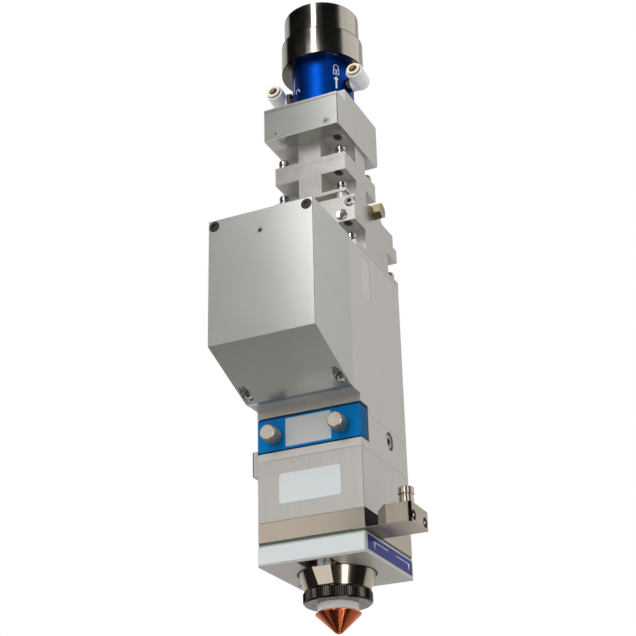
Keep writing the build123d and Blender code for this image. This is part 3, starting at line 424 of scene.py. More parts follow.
def label_film(name, colour, gloss=0.5, corner=None, corner_colour=None):
    """Printed film with a faint orange peel; corner gives the place where a darker field is printed."""
    finish, tree, shader = new_finish(name, colour, roughness=0.38, Specular_IOR_Level=gloss)
    peel = noise(tree, object_place(tree), scale=700.0, detail=2.0)
    fibre = noise(tree, object_place(tree), scale=2600.0)
    base = mix(tree, vary(tree, fibre), shade(colour, 0.97), shade(colour, 1.02))
    if corner:
        parts = axes(tree, object_place(tree, centre=corner))
        slanted = compute(tree, "SUBTRACT", compute(tree, "MULTIPLY", parts["Y"], 0.29), parts["Z"])
        base = mix(tree, compute(tree, "LESS_THAN", slanted, 0.0), base, corner_colour)
    tree.links.new(base, shader.inputs["Base Color"])
    tree.links.new(vary(tree, fibre, 0.32, 0.44), shader.inputs["Roughness"])
    raise_surface(tree, shader, peel, 0.00001)
    return finish


def coated_glass(name, colour):
    """Clear glass with a trace of dust."""
    finish, tree, shader = new_finish(name, colour, roughness=0.03, Transmission_Weight=1.0, IOR=1.46)
    dust = noise(tree, object_place(tree), scale=300.0, detail=2.0)
    tree.links.new(vary(tree, dust, 0.01, 0.05), shader.inputs["Roughness"])
    return finish


def dress(finish, *names):
    """Gives the finish to CAD nodes."""
    for name in names:
        for slot in NODES[name].material_slots:
            slot.material = finish


class FinishOperator(bpy.types.Operator):
    """Base of the operators that give finishes to the CAD pieces."""
    bl_idname = "cutting_head.finish_base"
    bl_label = "Finish base"
    bl_options = {"REGISTER", "UNDO"}

    def execute(self, context):
        self.give(colours())
        return {"FINISHED"}


# Scales of the cutter lines: upright on the blocks, level on the brushed cover and round the band.
UPRIGHT_LAY = (1500.0, 1500.0, 30.0)
COVER_LAY = (45.0, 45.0, 1800.0)
BAND_LAY = (40.0, 40.0, 1800.0)
EVEN_LAY = (900.0, 900.0, 900.0)

# Edges, seams and fields that stand out from a finish, among them painted shade, painted reflection and painted
# light where a row
# says so: brightness against its colour, and two corners in millimetres.
BLOCK_MARKS = (
    (0.3, (34.78, -37.1, 50.0), (35.1, -36.78, 108.0)),  # painted reflection: dark line on the front right edge under the drawer
    (0.1, (-38.9, -37.0, 93.0), (-37.8, -36.7, 109.5)),  # outer edge of the left cover plate
    (1.12, (-35.1, -37.1, 101.8), (34.85, -36.9, 107.3)),  # painted light: the strip under the window drawer made lighter
    (1.07, (34.4, -27.2, 206.3), (35.0, -13.8, 234.5)),  # blank plate in the right flank
)
FRONT_PLATE_MARKS = (
    (0.3, (-28.0, -39.5, 352.7), (26.9, -39.3, 353.2)),  # painted shade: dark line along the top edge
    (0.3, (27.0, -39.5, 329.0), (27.5, -39.0, 353.2)),  # painted shade: dark line along the right edge
)
RING_MARKS = (
    (0.02, (-30.0, -30.0, 399.62), (30.0, 30.0, 400.35)),  # painted shade: dark line along the bottom edge
    (0.15, (-30.0, -30.0, 421.35), (30.0, 30.0, 422.0)),  # seam under the upper barrel
    (0.45, (-30.0, -30.0, 399.5), (30.0, 30.0, 399.61)),  # painted shade over the underside
)
ARM_MARKS = (
    (0.2, (43.1, -37.0, 50.5), (43.4, -10.0, 50.7)),  # seam of the tongue, on the underside
    (0.02, (62.1, -36.75, 50.4), (63.95, -35.1, 62.7)),  # painted shade: the chamfer of the outer front edge darkened
    (0.03, (35.0, -37.0, 50.8), (43.3, -36.7, 52.45)),  # painted shade over the front of the tongue
    (0.42, (43.2, -37.0, 50.7), (48.2, -36.8, 62.7)),  # painted reflection: darker field at the inner end of the front
)
DRAWER_MARKS = (
    (0.45, (34.9, -37.1, 107.0), (35.1, 20.0, 130.0)),  # painted shade over the right side
    (0.06, (34.9, -37.1, 127.6), (35.1, 20.0, 130.0)),  # painted shadow: the top of the right side darkened
    (0.12, (-36.0, -37.1, 107.2), (36.0, 20.0, 107.9)),  # bottom edge
    (0.12, (-36.0, -37.1, 128.6), (34.9, -36.9, 129.5)),  # top edge of the front
    (0.35, (34.8, -37.1, 107.0), (35.1, -36.6, 130.0)),  # painted reflection: dark line on the front right edge
)
# Painted shade in the ceilings of the right front pockets, a dark patch over each pillar screw:
# centres and half their size, in millimetres.
PAINTED_SHADE_CENTRES = ((28.6, -30.4, 257.4), (19.6, -22.4, 302.1), (19.6, -22.4, 330.0))
PAINTED_SHADE_REACH = (3.6, 5.0, 0.1)
# Pocketed blocks: finish, distance of the outer faces from the axis in millimetres, and nodes.
POCKET_CENTRE = 21.0
POCKETED = (("adapter_milled", 34.0, ("adapter_base", "adapter_block")),
            ("collimator_milled", 25.9, ("collimator_block",)),
            ("adjuster_milled", 25.9, ("adjuster_block",)))


class FinishBlocks(FinishOperator):
    """Milled aluminium on the square blocks, the housings and the covers."""
    bl_idname = "cutting_head.finish_blocks"
    bl_label = "Finish the aluminium blocks"

    def give(self, c):
        milled = milled_aluminium("milled_block", c.aluminium, UPRIGHT_LAY)
        mark_all(milled, c.aluminium, BLOCK_MARKS)
        dress(milled, "middle_block", "drawer_housing", "focus_housing", "nozzle_block", "left_cover_plate",
              "flank_plate")
        dress(milled_aluminium("brushed_cover", c.cover, COVER_LAY, 0.25, 0.9, 0.25), "drive_cover")
        front_plate = milled_aluminium("brushed_front_plate", c.cover, COVER_LAY, 0.25, 0.9, 0.25)
        mark_all(front_plate, c.cover, FRONT_PLATE_MARKS)
        dress(front_plate, "adjuster_cover")
        for name, outside, nodes in POCKETED:
            pocketed = pocket_milled_aluminium(name, c.aluminium, POCKET_CENTRE * MM, outside * MM)
            # Painted shade: a soft dark patch in the pocket ceiling over each right front pillar screw.
            for centre in PAINTED_SHADE_CENTRES:
                low = [a - b for a, b in zip(centre, PAINTED_SHADE_REACH)]
                high = [a + b for a, b in zip(centre, PAINTED_SHADE_REACH)]
                mark(pocketed, c.pocket_shade, low, high, rounded=True)
            dress(pocketed, *nodes)
        dress(turned_metal("turned_aluminium", c.aluminium, 0.3), "seat_ring", "lens_holder", "lens_carriage")
        dress(milled_aluminium("drive_frame_milled", c.aluminium, UPRIGHT_LAY), "drive_frame")


class FinishSteel(FinishOperator):
    """Turned and plated steel on the lock ring, the thumb screws and the drive."""
    bl_idname = "cutting_head.finish_steel"
    bl_label = "Finish the steel pieces"

    def give(self, c):
        ring = turned_metal("lock_ring_steel", c.steel, 0.14, streaks=0.7)
        mark_all(ring, c.steel, RING_MARKS)
        dress(ring, "lock_ring", "plug_sleeve")
        low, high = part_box("thumb_screw_right")
        thumb_centre = ((low.x + high.x) / 2, 0.0, (low.z + high.z) / 2)
        dress(knurled_metal("thumb_screw_nickel", c.thumb_nickel, 0.3, "Y", thumb_centre, 5.3 * MM, 4.95 * MM,
                            groove_shade=0.55, teeth=18, cross=1500.0), "thumb_screw_left", "thumb_screw_right")
        dress(plated_metal("ground_steel", c.steel, 0.2), "guide_rods", "focus_spindle", "lens_ring",
              "window_ring")
        dress(plated_metal("bright_screw", c.screw, 0.2), "pillar_screws", "wall_screw", "wall_plug")
        dress(plated_metal("socket_nickel", c.ceramic, 0.35, metallic=0.0), "cable_socket")
        dress(plated_metal("satin_screw", c.screw, 0.3, metallic=0.9), "clamp_screw", "cover_screws",
              "left_plate_screws", "vent_screw")
        dress(plated_metal("small_screw", shade(c.screw, 0.9), 0.3, metallic=0.8), "cover_front_screw",
              "adjuster_cover_screws")
        dress(plated_metal("yellow_zinc", c.yellow_zinc, 0.2), "flank_plug")
        dress(plated_metal("contact_brass", c.brass, 0.25), "contact_pin")
        dress(plated_metal("motor_enamel", c.black, 0.45), "focus_motor")


class FinishNickel(FinishOperator):
    """Warm nickel plating on the band, the arm, the sensor insert and the ring nut."""
    bl_idname = "cutting_head.finish_nickel"
    bl_label = "Finish the nickel pieces"

    def give(self, c):
        dress(milled_aluminium("nickel_band", c.nickel, BAND_LAY, 0.24, 1.0), "nickel_band")
        dress(plated_metal("fitting_nickel", c.nickel, 0.2, depth=0.000002), "gas_fitting")
        arm = plated_metal("arm_nickel", shade(c.nickel, 0.92), 0.34, depth=0.000002, metallic=0.9)
        mark_all(arm, c.nickel, ARM_MARKS)
        dress(arm, "side_arm")
        dress(turned_metal("sensor_nickel", c.nickel, 0.12, streaks=0.5), "sensor_insert")
        dress(knurled_metal("nut_nickel", c.dark_nickel, 0.2, "Z", (0.0, 0.0, 0.0), 21.15 * MM, 20.85 * MM,
                            groove_shade=0.16), "ring_nut")
        dress(plated_metal("stem_nickel", c.dark_nickel, 0.22), "elbow_stems")


class FinishDyed(FinishOperator):
    """Dyed anodising on the fibre collar and the window drawer."""
    bl_idname = "cutting_head.finish_dyed"
    bl_label = "Finish the dyed pieces"

    def give(self, c):
        dress(turned_metal("collar_blue", c.collar_blue, 0.43), "fibre_collar")
        dyed = dyed_aluminium("drawer_blue", c.drawer_blue)
        mark_all(dyed, c.drawer_blue, DRAWER_MARKS)
        dress(dyed, "window_drawer")


class FinishNozzle(FinishOperator):
    """Copper on the nozzle and white ceramic on its holder."""
    bl_idname = "cutting_head.finish_nozzle"
    bl_label = "Finish the nozzle and its holder"

    def give(self, c):
        dress(turned_metal("nozzle_copper", c.copper, 0.17, depth=0.000004), "nozzle")
        dress(moulded_plastic("fired_ceramic", shade(c.ceramic, 1.04), 0.45), "ceramic_holder")


class FinishMoulded(FinishOperator):
    """Plastic, rubber, film and glass pieces."""
    bl_idname = "cutting_head.finish_moulded"
    bl_label = "Finish the moulded pieces and the labels"

    def give(self, c):
        dress(moulded_plastic("elbow_white", c.elbow_white, 0.28), "elbow_body_left", "elbow_body_right")
        dress(moulded_plastic("elbow_cream", c.elbow_cream, 0.4), "release_collar_left", "release_collar_right")
        dress(moulded_plastic("plug_black", c.black, 0.5), "cover_plugs")
        dress(moulded_plastic("seal_green", c.seal, 0.6), "block_seal")
        dress(label_film("pale_film", c.label), "strip_label", "middle_label")
        dress(label_film("grey_film", c.label_grey), "drawer_label")
        low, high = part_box("flank_label")
        navy_corner = (high.x, low.y, high.z - 4.6 * MM)
        dress(label_film("violet_film", c.label_violet, 0.12, navy_corner, c.label_navy), "flank_label")
        dress(coated_glass("optic_glass", c.glass), "protective_window", "focus_lens", "collimator_lens")


# Helpers for new pieces, which are modelled in place and then tied to a body.

def select_only(piece):
    bpy.ops.object.select_all(action="DESELECT")
    piece.select_set(True)
    bpy.context.view_layer.objects.active = piece


def select_faces(piece, test):
    """Goes to edit mode with only the faces selected that pass the test."""
    bpy.ops.object.mode_set(mode="EDIT")
    bpy.ops.mesh.select_mode(type="FACE")
    bpy.ops.mesh.select_all(action="DESELECT")
    bpy.ops.object.mode_set(mode="OBJECT")
    for face in piece.data.polygons:
        face.select = test(face)
    bpy.ops.object.mode_set(mode="EDIT")


def apply_place():
    bpy.ops.object.transform_apply(location=True, rotation=True, scale=True)


def settle(piece, name, body, slot_name, *finishes):
    """Applies a piece's transforms, names it and ties it to its body; the slot name is not used."""
    select_only(piece)
    apply_place()
    piece.name = name
    if finishes:
        piece.data.materials.clear()
        for finish in finishes:
            piece.data.materials.append(finish)
    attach(piece, body)


def copy_of(piece):
    """Copy of an object with its own mesh, in the scene."""
    twin = piece.copy()
    twin.data = piece.data.copy()
    bpy.context.scene.collection.objects.link(twin)
    return twin


def box_between(low, high):
    """Box between two corners, with its place in its mesh."""
    bpy.ops.mesh.primitive_cube_add(size=1.0, location=[(a + b) / 2 for a, b in zip(low, high)])
    box = bpy.context.object
    box.scale = [b - a for a, b in zip(low, high)]
    apply_place()
    return box


def join_all(pieces):
    bpy.ops.object.select_all(action="DESELECT")
    for piece in pieces:
        piece.select_set(True)
    bpy.context.view_layer.objects.active = pieces[0]
    bpy.ops.object.join()
    return pieces[0]


# Share of its width by which a bar is longer than its line, so that bends close.
BAR_OVERLAP = 0.6


def flat_bar(start, end, width):
    """Flat bar in the XY plane between two points in millimetres."""
    (x0, y0), (x1, y1) = start, end
    bpy.ops.mesh.primitive_plane_add(size=1.0)
    bar = bpy.context.object
    bar.location = ((x0 + x1) / 2 * MM, (y0 + y1) / 2 * MM, 0.0)
    bar.rotation_euler = (0.0, 0.0, atan2(y1 - y0, x1 - x0))
    bar.scale = (hypot(x1 - x0, y1 - y0) * MM + width * BAR_OVERLAP, width, 1.0)
    apply_place()
    return bar


def flat_head(tip, foot, half_width):
    """Flat arrowhead in the XY plane from its foot to its tip, in millimetres."""
    # A circle of three vertices is 1.5 radii long, with its centre a third of the way from foot to tip.
    bpy.ops.mesh.primitive_circle_add(vertices=3, radius=1.0, fill_type="NGON")
    head = bpy.context.object
    length = hypot(tip[0] - foot[0], tip[1] - foot[1])
    head.location = ((foot[0] + (tip[0] - foot[0]) / 3) * MM, (foot[1] + (tip[1] - foot[1]) / 3) * MM, 0.0)
    head.rotation_euler = (0.0, 0.0, atan2(tip[1] - foot[1], tip[0] - foot[0]) - pi / 2)
    head.scale = (half_width / cos(pi / 6) * MM, length / 1.5 * MM, 1.0)
    apply_place()
    return head


def chain(points, width):
    """Flat bars along a line of points."""
    return [flat_bar(a, b, width) for a, b in zip(points, points[1:])]


def thicken(piece, thickness, offset=1.0):
    solid = piece.modifiers.new("Thickness", "SOLIDIFY")
    solid.thickness = thickness
    solid.offset = offset
    bpy.ops.object.modifier_apply(modifier=solid.name)


class AddFlankMarks(bpy.types.Operator):
    """Printed bracket on the flank label: two lines in a row with an arrowhead down at either end."""
    bl_idname = "cutting_head.add_flank_marks"
    bl_label = "Print the flank label"
    bl_options = {"REGISTER", "UNDO"}

    def execute(self, context):
        marks = context.scene.head_marks
        low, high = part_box("flank_label")
        line_z, tip_z = high.z / MM - 2.75, low.z / MM + 1.6
        front_y, back_y = low.y / MM + 9.1, high.y / MM - 5.6
        gap_start, gap_end = front_y + 20.9, front_y + 34.0
        fall = 0.1
        parts = chain([(front_y, line_z), (gap_start, line_z - fall)], marks.line_width)
        parts += chain([(gap_end, line_z - fall), (back_y, line_z - 2 * fall)], marks.line_width)
        for y in (front_y, back_y):
            parts.append(flat_head((y + 0.3, tip_z), (y, line_z + 0.2), 1.25))
        piece = join_all(parts)
        thicken(piece, marks.print_proud)
        piece.rotation_euler = (pi / 2, 0.0, pi / 2)
        piece.location = (high.x, 0.0, 0.0)
        ink = moulded_plastic("flank_print", colours().print_and_glint_white, 0.4)
        settle(piece, "flank_marks", "head", "blue_label", ink)
        return {"FINISHED"}


# Lines of the marks on the collar, as points across and up in millimetres.
LOCK_BODY = ((-2.1, 387.3), (2.1, 387.3), (2.1, 390.9), (-2.1, 390.9), (-2.1, 387.3))
LOCK_SHACKLE = ((-1.75, 390.9), (-1.75, 393.7), (-0.8, 395.1), (0.8, 395.1), (1.75, 393.7), (1.75, 390.9))
GUIDE_LINE = ((0.0, 380.0), (0.0, 391.9))
GUIDE_ARC = ((-2.2, 377.2), (-1.7, 379.4), (-0.3, 380.3), (1.3, 379.4), (2.1, 377.2))
# Distance from the axis, outside the collar, from which the marks are projected onto it.
PROJECT_FROM = 24.0


def print_on_collar(name, angle, parts, proud, ink):
    """Joins flat parts and lays them round the fibre collar, centred on an angle in degrees."""
    piece = join_all(parts)
    bpy.ops.object.mode_set(mode="EDIT")
    bpy.ops.mesh.select_all(action="SELECT")
    bpy.ops.mesh.subdivide(number_cuts=5)
    bpy.ops.object.mode_set(mode="OBJECT")
    turn = radians(angle)
    piece.rotation_euler = (pi / 2, 0.0, turn + pi / 2)
    piece.location = (PROJECT_FROM * MM * cos(turn), PROJECT_FROM * MM * sin(turn), 0.0)
    bpy.context.view_layer.update()
    wrap = piece.modifiers.new("Wrap", "SHRINKWRAP")
    wrap.target = NODES["fibre_collar"]
    wrap.wrap_method = "PROJECT"
    wrap.use_project_z = True
    wrap.use_negative_direction = True
    wrap.offset = proud
    bpy.ops.object.modifier_apply(modifier=wrap.name)
    thicken(piece, proud * 2, -1.0)
    settle(piece, name, "head", "blue_anodised", ink)


class AddCollarMarks(bpy.types.Operator):
    """Printed marks on the fibre collar: an arrow up to a plain lock sign, and two short guide lines."""
    bl_idname = "cutting_head.add_collar_marks"
    bl_label = "Print the fibre collar"
    bl_options = {"REGISTER", "UNDO"}

    def execute(self, context):
        marks = context.scene.head_marks
        width, proud = marks.line_width, marks.print_proud
        ink = moulded_plastic("collar_print", colours().print_and_glint_white, 0.4)
        arrow = [flat_bar((0.0, 376.0), (0.0, 383.6), 1.25 * MM), flat_head((0.0, 385.5), (0.0, 382.9), 2.0)]
        print_on_collar("collar_arrow", -40.6, arrow, proud, ink)
        lock = chain(LOCK_BODY, width) + chain(LOCK_SHACKLE, width)
        lock.append(flat_bar((0.0, 388.4), (0.0, 389.7), 0.9 * MM))
        print_on_collar("collar_lock", -40.3, lock, proud, ink)
        print_on_collar("collar_line", -134.0, chain(GUIDE_LINE, width), proud, ink)
        print_on_collar("collar_arc", -120.5, chain(GUIDE_ARC, width), proud, ink)
        return {"FINISHED"}


class OpenSocketRecess(bpy.types.Operator):
    """Nozzle block whose recess for the cable socket runs forward almost to the front face; the faces of the recess
    are painted dark as painted shade.
    """
    bl_idname = "cutting_head.open_socket_recess"
    bl_label = "Open the socket recess"
    bl_options = {"REGISTER", "UNDO"}

    def execute(self, context):
        node = NODES["nozzle_block"]
        block = copy_of(node)
        block.parent = None
        block.matrix_world = node.matrix_world
        select_only(block)
        bpy.ops.object.mode_set(mode="EDIT")
        bpy.ops.mesh.select_all(action="SELECT")
        bpy.ops.mesh.remove_doubles(threshold=0.000001)
        bpy.ops.object.mode_set(mode="OBJECT")
        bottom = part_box("nozzle_block")[0].z
        cutter = box_between((-10.0 * MM, -36.3 * MM, bottom - 1.0 * MM),
                             (12.0 * MM, -17.0 * MM, bottom + 5.6 * MM))
        # Painted shade: the recess's faces are the aluminium darkened to 0.3.
        cutter.data.materials.append(milled_aluminium("recess_painted_shade", shade(colours().aluminium, 0.3),
                                                      EVEN_LAY, 0.6, 0.3))
        cut = block.modifiers.new("Recess", "BOOLEAN")
        cut.object = cutter
        cut.operation = "DIFFERENCE"
        cut.solver = "EXACT"
        cut.material_mode = "TRANSFER"
        select_only(block)
        bpy.ops.object.modifier_apply(modifier=cut.name)
        bpy.data.objects.remove(cutter)
        settle(block, "nozzle_block_open", "head", "satin_aluminium")
        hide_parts("nozzle_block")
        return {"FINISHED"}


class AddArmDetails(bpy.types.Operator):
    """Near black sheet as painted shade in the gap beside the side arm, and pins in its two holes whose white ends
    are a painted glint over dark bases of painted shade.
    """
    bl_idname = "cutting_head.add_arm_details"
    bl_label = "Add the details of the side arm"
    bl_options = {"REGISTER", "UNDO"}

    def execute(self, context):
        dark = moulded_plastic("arm_gap_shade_black", colours().arm_gap_shade, 0.6, Specular_IOR_Level=0.1)
        # Painted highlight: the pins' white ends stand for a glint in the holes; their bases take the dark sheet's
        # black as painted shade.
        bright = plated_metal("pin_painted_glint", colours().print_and_glint_white, 0.3, metallic=0.3)
        band_low, band_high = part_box("nickel_band")
        arm_low, arm_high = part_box("side_arm")
        tongue_top = band_low.z + 1.9 * MM
        # Painted shade: a near black sheet on the band's side face, in the gap beside the arm.
        arm_gap_shade = box_between((band_high.x, arm_low.y + 0.1 * MM, tongue_top),
                             (band_high.x + 0.5 * MM, arm_high.y - 0.1 * MM, band_high.z))
        select_faces(arm_gap_shade, lambda face: face.normal.x > 0.9)
        bpy.ops.mesh.inset(thickness=0.8 * MM, depth=-0.2 * MM)
        bpy.ops.object.mode_set(mode="OBJECT")
        settle(arm_gap_shade, "arm_gap_shade_sheet", "head", "seal_rubber", dark)

        hole_inset, hole_z, pin_depth = 4.5 * MM, band_low.z + 4.3 * MM, 4.6 * MM
        base_radius, base_height, end_radius, end_height = 3.15 * MM, 1.2 * MM, 0.95 * MM, 3.9 * MM
        bpy.ops.mesh.primitive_cylinder_add(vertices=32, radius=base_radius, depth=base_height)
        front_pin = context.object
        select_faces(front_pin, lambda face: face.normal.z > 0.9)
        bpy.ops.mesh.inset(thickness=base_radius - end_radius)
        bpy.ops.mesh.extrude_region_move(TRANSFORM_OT_translate={"value": (0.0, 0.0, end_height)})
        bpy.ops.mesh.bevel(offset=0.35 * MM, segments=3)
        bpy.ops.object.mode_set(mode="OBJECT")
        for finish in (dark, bright):
            front_pin.data.materials.append(finish)
        for face in front_pin.data.polygons:
            face.use_smooth = face.center.z > 2.7 * MM
            face.material_index = int(face.use_smooth)
        front_pin.rotation_euler = (0.0, pi / 2, 0.0)
        back_pin = copy_of(front_pin)
        front_pin.location = (arm_high.x - pin_depth, arm_low.y + hole_inset, hole_z)
        back_pin.location = (arm_high.x - pin_depth, arm_high.y - hole_inset, hole_z)
        settle(front_pin, "arm_pin_front", "head", "screw_steel")
        settle(back_pin, "arm_pin_back", "head", "screw_steel")
        return {"FINISHED"}


# Swivel centre of an elbow from the axis, the height of that centre over the lowest point of its body, and
# how far its tube is tilted up.
ELBOW_X, ELBOW_Y, ELBOW_RADIUS = 30.8, -4.2, 6.1
ELBOW_TILT = radians(11.0)
# How far out along the tube the dark ring of painted shade and the grip ring sit.
GAP_SHADE_ALONG, GRIP_ALONG = 12.71, 12.3


class AddElbowGapShade(bpy.types.Operator):
    """Dark ring behind the rim of each release collar, put there as painted shade, and a bronze grip ring inside
    it.
    """
    bl_idname = "cutting_head.add_elbow_seals"
    # The black ring that this operator adds is painted shade.
    bl_label = "Add the seals of the elbows"
    bl_options = {"REGISTER", "UNDO"}

    def execute(self, context):
        rubber = moulded_plastic("elbow_gap_shade_black", colours().black, 0.5)
        bronze = plated_metal("grip_bronze", colours().grip, 0.35)
        # Painted shade: a black ring that stands for the shade in the gap behind each collar's rim.
        bpy.ops.mesh.primitive_torus_add(major_segments=48, minor_segments=12, major_radius=4.58 * MM,
                                         minor_radius=0.28 * MM)
        bpy.ops.object.shade_smooth()
        seal = context.object
        bpy.ops.mesh.primitive_cylinder_add(vertices=40, radius=3.0 * MM, depth=1.0 * MM)
        grip = context.object
        select_faces(grip, lambda face: abs(face.normal.z) > 0.9)
        bpy.ops.mesh.inset(thickness=1.0 * MM, depth=-0.35 * MM)
        bpy.ops.object.mode_set(mode="OBJECT")

        centre_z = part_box("elbow_body_right")[0].z + ELBOW_RADIUS * MM
        rings = []
        for side, name in ((-1, "left"), (1, "right")):
            rings.append((copy_of(seal), side, GAP_SHADE_ALONG, f"elbow_gap_shade_{name}", name, "black_plastic", rubber))
            rings.append((copy_of(grip), side, GRIP_ALONG, f"grip_ring_{name}", name, "brass", bronze))
        for model in (seal, grip):
            bpy.data.objects.remove(model)
        for ring, side, along, name, body, slot_name, finish in rings:
            ring.rotation_euler = (pi / 2 - ELBOW_TILT, 0.0, 0.0)
            ring.location = (side * ELBOW_X * MM, (ELBOW_Y - along * cos(ELBOW_TILT)) * MM,
                             centre_z + along * MM * sin(ELBOW_TILT))
            settle(ring, name, f"release_{body}", slot_name, finish)
        return {"FINISHED"}


# Brightness that reflections find round the object: pairs of azimuth in degrees and level, for directions
# well over the horizon, for those lower down, and for the floor. A colour ramp holds colours up to one, so
# its stops are the levels divided by the highest level.
HIGHEST_LEVEL = 4.0
UPPER_WALLS = [(-180, 0.006), (-108, 0.004), (-76, 0.004), (-70, 0.03), (-60, 0.006), (-22, 0.01), (-12, 0.06),
               (-3, 0.30), (10, 0.42), (40, 0.48), (67, 0.50), (120, 0.70), (160, 0.66), (171, 0.52), (178, 0.01)]
LOWER_WALLS = [(-180, 0.015), (-146, 0.03), (-112, 0.14), (-86, 0.10), (-72, 0.05), (-60, 0.10), (-54, 0.30),
               (-48, 3.60), (-37, 3.60), (-31, 0.70), (-26, 0.08), (-15, 0.03), (-6, 0.015), (28, 0.02), (35, 0.50),
               (46, 0.66), (120, 0.74), (152, 0.70), (169, 0.50), (177, 0.015)]
FLOOR_WALLS = LOWER_WALLS[:-3] + [(152, 0.70), (167, 0.36), (175, 0.012)]
# A trace of warmth in the walls.
WALL_TINT = (1.0, 0.985, 0.96)
# Sines of the heights between which the lower walls give way to the upper ones, and of the depths between
# which they dim to their level at the foot.
WALL_CHANGE = (0.24, 0.36)
WALL_FOOT, FOOT_LEVEL = (-0.60, -0.22), 0.30

# Lit patches of the floor, as reflections find them: centre, radius of the full level, outer radius, level.
FLOOR_PATCHES = (((-0.42, -0.72), 0.22, 0.42, 1.0),
                 ((0.192, -0.016), 0.012, 0.03, 40.0),
                 ((-0.44, -0.14), 0.04, 0.2, 0.35))
PATCH_COLOUR = (0.45, 0.445, 0.435)
# Strength that reflections find on the floor: it rises with the distance from the foot of the head, and by
# the patch strength times the level of a patch.
FLOOR_REACH, FLOOR_STRENGTH, PATCH_STRENGTH = (0.3, 2.0), (1.4, 3.6), 0.3
FLOOR_COLOUR, FLOOR_DARK, FLOOR_LIGHT = (0.86, 0.86, 0.85), (0.84, 0.84, 0.83), (0.88, 0.88, 0.87)

# Lamps: name, place, aim, width, height and level. The key and fill lamps stand near the front, so that
# each front face runs from a dim left to a bright right edge.
SOFTBOXES = [
    ("front_softbox", (0.02, -1.70, 1.25), (0.0, 0.0, 0.22), 0.31, 1.60, 6.0),
    ("right_softbox", (1.70, 0.90, 1.10), (0.0, 0.0, 0.22), 2.20, 2.20, 0.56),
    ("left_softbox", (-1.76, 0.36, 0.52), (0.0, 0.0, 0.05), 0.40, 0.40, 2.0),
    ("key_softbox_upper", (-0.005, -0.42, 0.58), (-0.005, -0.03, 0.33), 0.25, 0.16, 2.1),
    ("key_softbox_middle", (-0.01, -0.47, 0.40), (-0.01, -0.10, 0.22), 0.26, 0.20, 2.1),
    ("fill_softbox_top", (-0.27, -0.40, 0.62), (0.0, -0.04, 0.34), 0.25, 0.12, 0.25),
    ("fill_softbox_upper", (-0.28, -0.44, 0.42), (0.0, -0.06, 0.23), 0.25, 0.24, 0.38),
    ("fill_softbox_lower", (-0.27, -0.43, 0.19), (0.0, -0.04, 0.08), 0.27, 0.18, 0.82),
]


def azimuth(tree, parts):
    """Azimuth of a direction or place, from 0 to 1 over the full turn."""
    turn = compute(tree, "ARCTAN2", parts["Y"], parts["X"])
    return spread(tree, turn, -pi, pi)


def wall_ramp(tree, around, stops):
    """Colour ramp over the azimuth, its stops as shares of the highest level."""
    ramp = add_node(tree, "ShaderNodeValToRGB")
    ramp.color_ramp.interpolation = "EASE"
    elements = ramp.color_ramp.elements
    while len(elements) < len(stops):
        elements.new(0.5)
    for element, (angle, level) in zip(elements, stops):
        element.position = (angle + 180) / 360
        element.color = (*shade(WALL_TINT, level / HIGHEST_LEVEL), 1.0)
    tree.links.new(around, ramp.inputs[0])
    return ramp.outputs[0]


def world_studio():
    """White room to the camera; to reflections a room with a lit wall behind the object and dark sides."""
    world = bpy.data.worlds.new("studio_room")
    bpy.context.scene.world = world
    world.use_nodes = True
    tree = world.node_tree
    tree.nodes.clear()
    direction = axes(tree, add_node(tree, "ShaderNodeTexCoord").outputs["Generated"])
    around = azimuth(tree, direction)
    walls = mix(tree, spread(tree, direction["Z"], *WALL_CHANGE), wall_ramp(tree, around, LOWER_WALLS),
                wall_ramp(tree, around, UPPER_WALLS))
    sinking = spread(tree, direction["Z"], *WALL_FOOT, FOOT_LEVEL)
    seen = add_node(tree, "ShaderNodeVectorMath", operation="SCALE")
    tree.links.new(walls, seen.inputs[0])
    tree.links.new(compute(tree, "MULTIPLY", sinking, HIGHEST_LEVEL), seen.inputs["Scale"])
    rays = add_node(tree, "ShaderNodeLightPath").outputs
    mirrored = greatest(tree, rays["Is Glossy Ray"], rays["Is Transmission Ray"])
    room = mix(tree, mirrored, (studio().ambient,) * 3, seen.outputs[0])
    background = add_node(tree, "ShaderNodeBackground")
    tree.links.new(mix(tree, rays["Is Camera Ray"], room, (1.0, 1.0, 1.0)), background.inputs["Color"])
    output = add_node(tree, "ShaderNodeOutputWorld")
    tree.links.new(background.outputs[0], output.inputs["Surface"])


def floor_paint():
    """Pale paint to the camera; reflections see it in tones of its own, with the lit patches."""
    paint, tree, shader = new_finish("floor_paint", FLOOR_COLOUR, roughness=0.7)
    clouds = noise(tree, object_place(tree), scale=9.0)
    tree.links.new(mix(tree, clouds, FLOOR_DARK, FLOOR_LIGHT), shader.inputs["Base Color"])
    patches = []
    for centre, inner, outer, level in FLOOR_PATCHES:
        away = vector(tree, "LENGTH", object_place(tree, centre=(*centre, -studio().floor_drop)))
        patches.append(spread(tree, away, inner, outer, level, 0.0))
    lit = greatest(tree, *patches)
    around = azimuth(tree, axes(tree, object_place(tree)))
    away = vector(tree, "LENGTH", object_place(tree))
    shaded = add_node(tree, "ShaderNodeEmission")
    tree.links.new(mix(tree, lit, wall_ramp(tree, around, FLOOR_WALLS), PATCH_COLOUR), shaded.inputs["Color"])
    strength = compute(tree, "ADD", spread(tree, away, *FLOOR_REACH, *FLOOR_STRENGTH),
                       compute(tree, "MULTIPLY", lit, PATCH_STRENGTH))
    tree.links.new(strength, shaded.inputs["Strength"])
    mixed = add_node(tree, "ShaderNodeMixShader")
    tree.links.new(add_node(tree, "ShaderNodeLightPath").outputs["Is Glossy Ray"], mixed.inputs[0])
    tree.links.new(shader.outputs[0], mixed.inputs[1])
    tree.links.new(shaded.outputs[0], mixed.inputs[2])
    tree.links.new(mixed.outputs[0], tree.nodes["Material Output"].inputs["Surface"])
    return paint


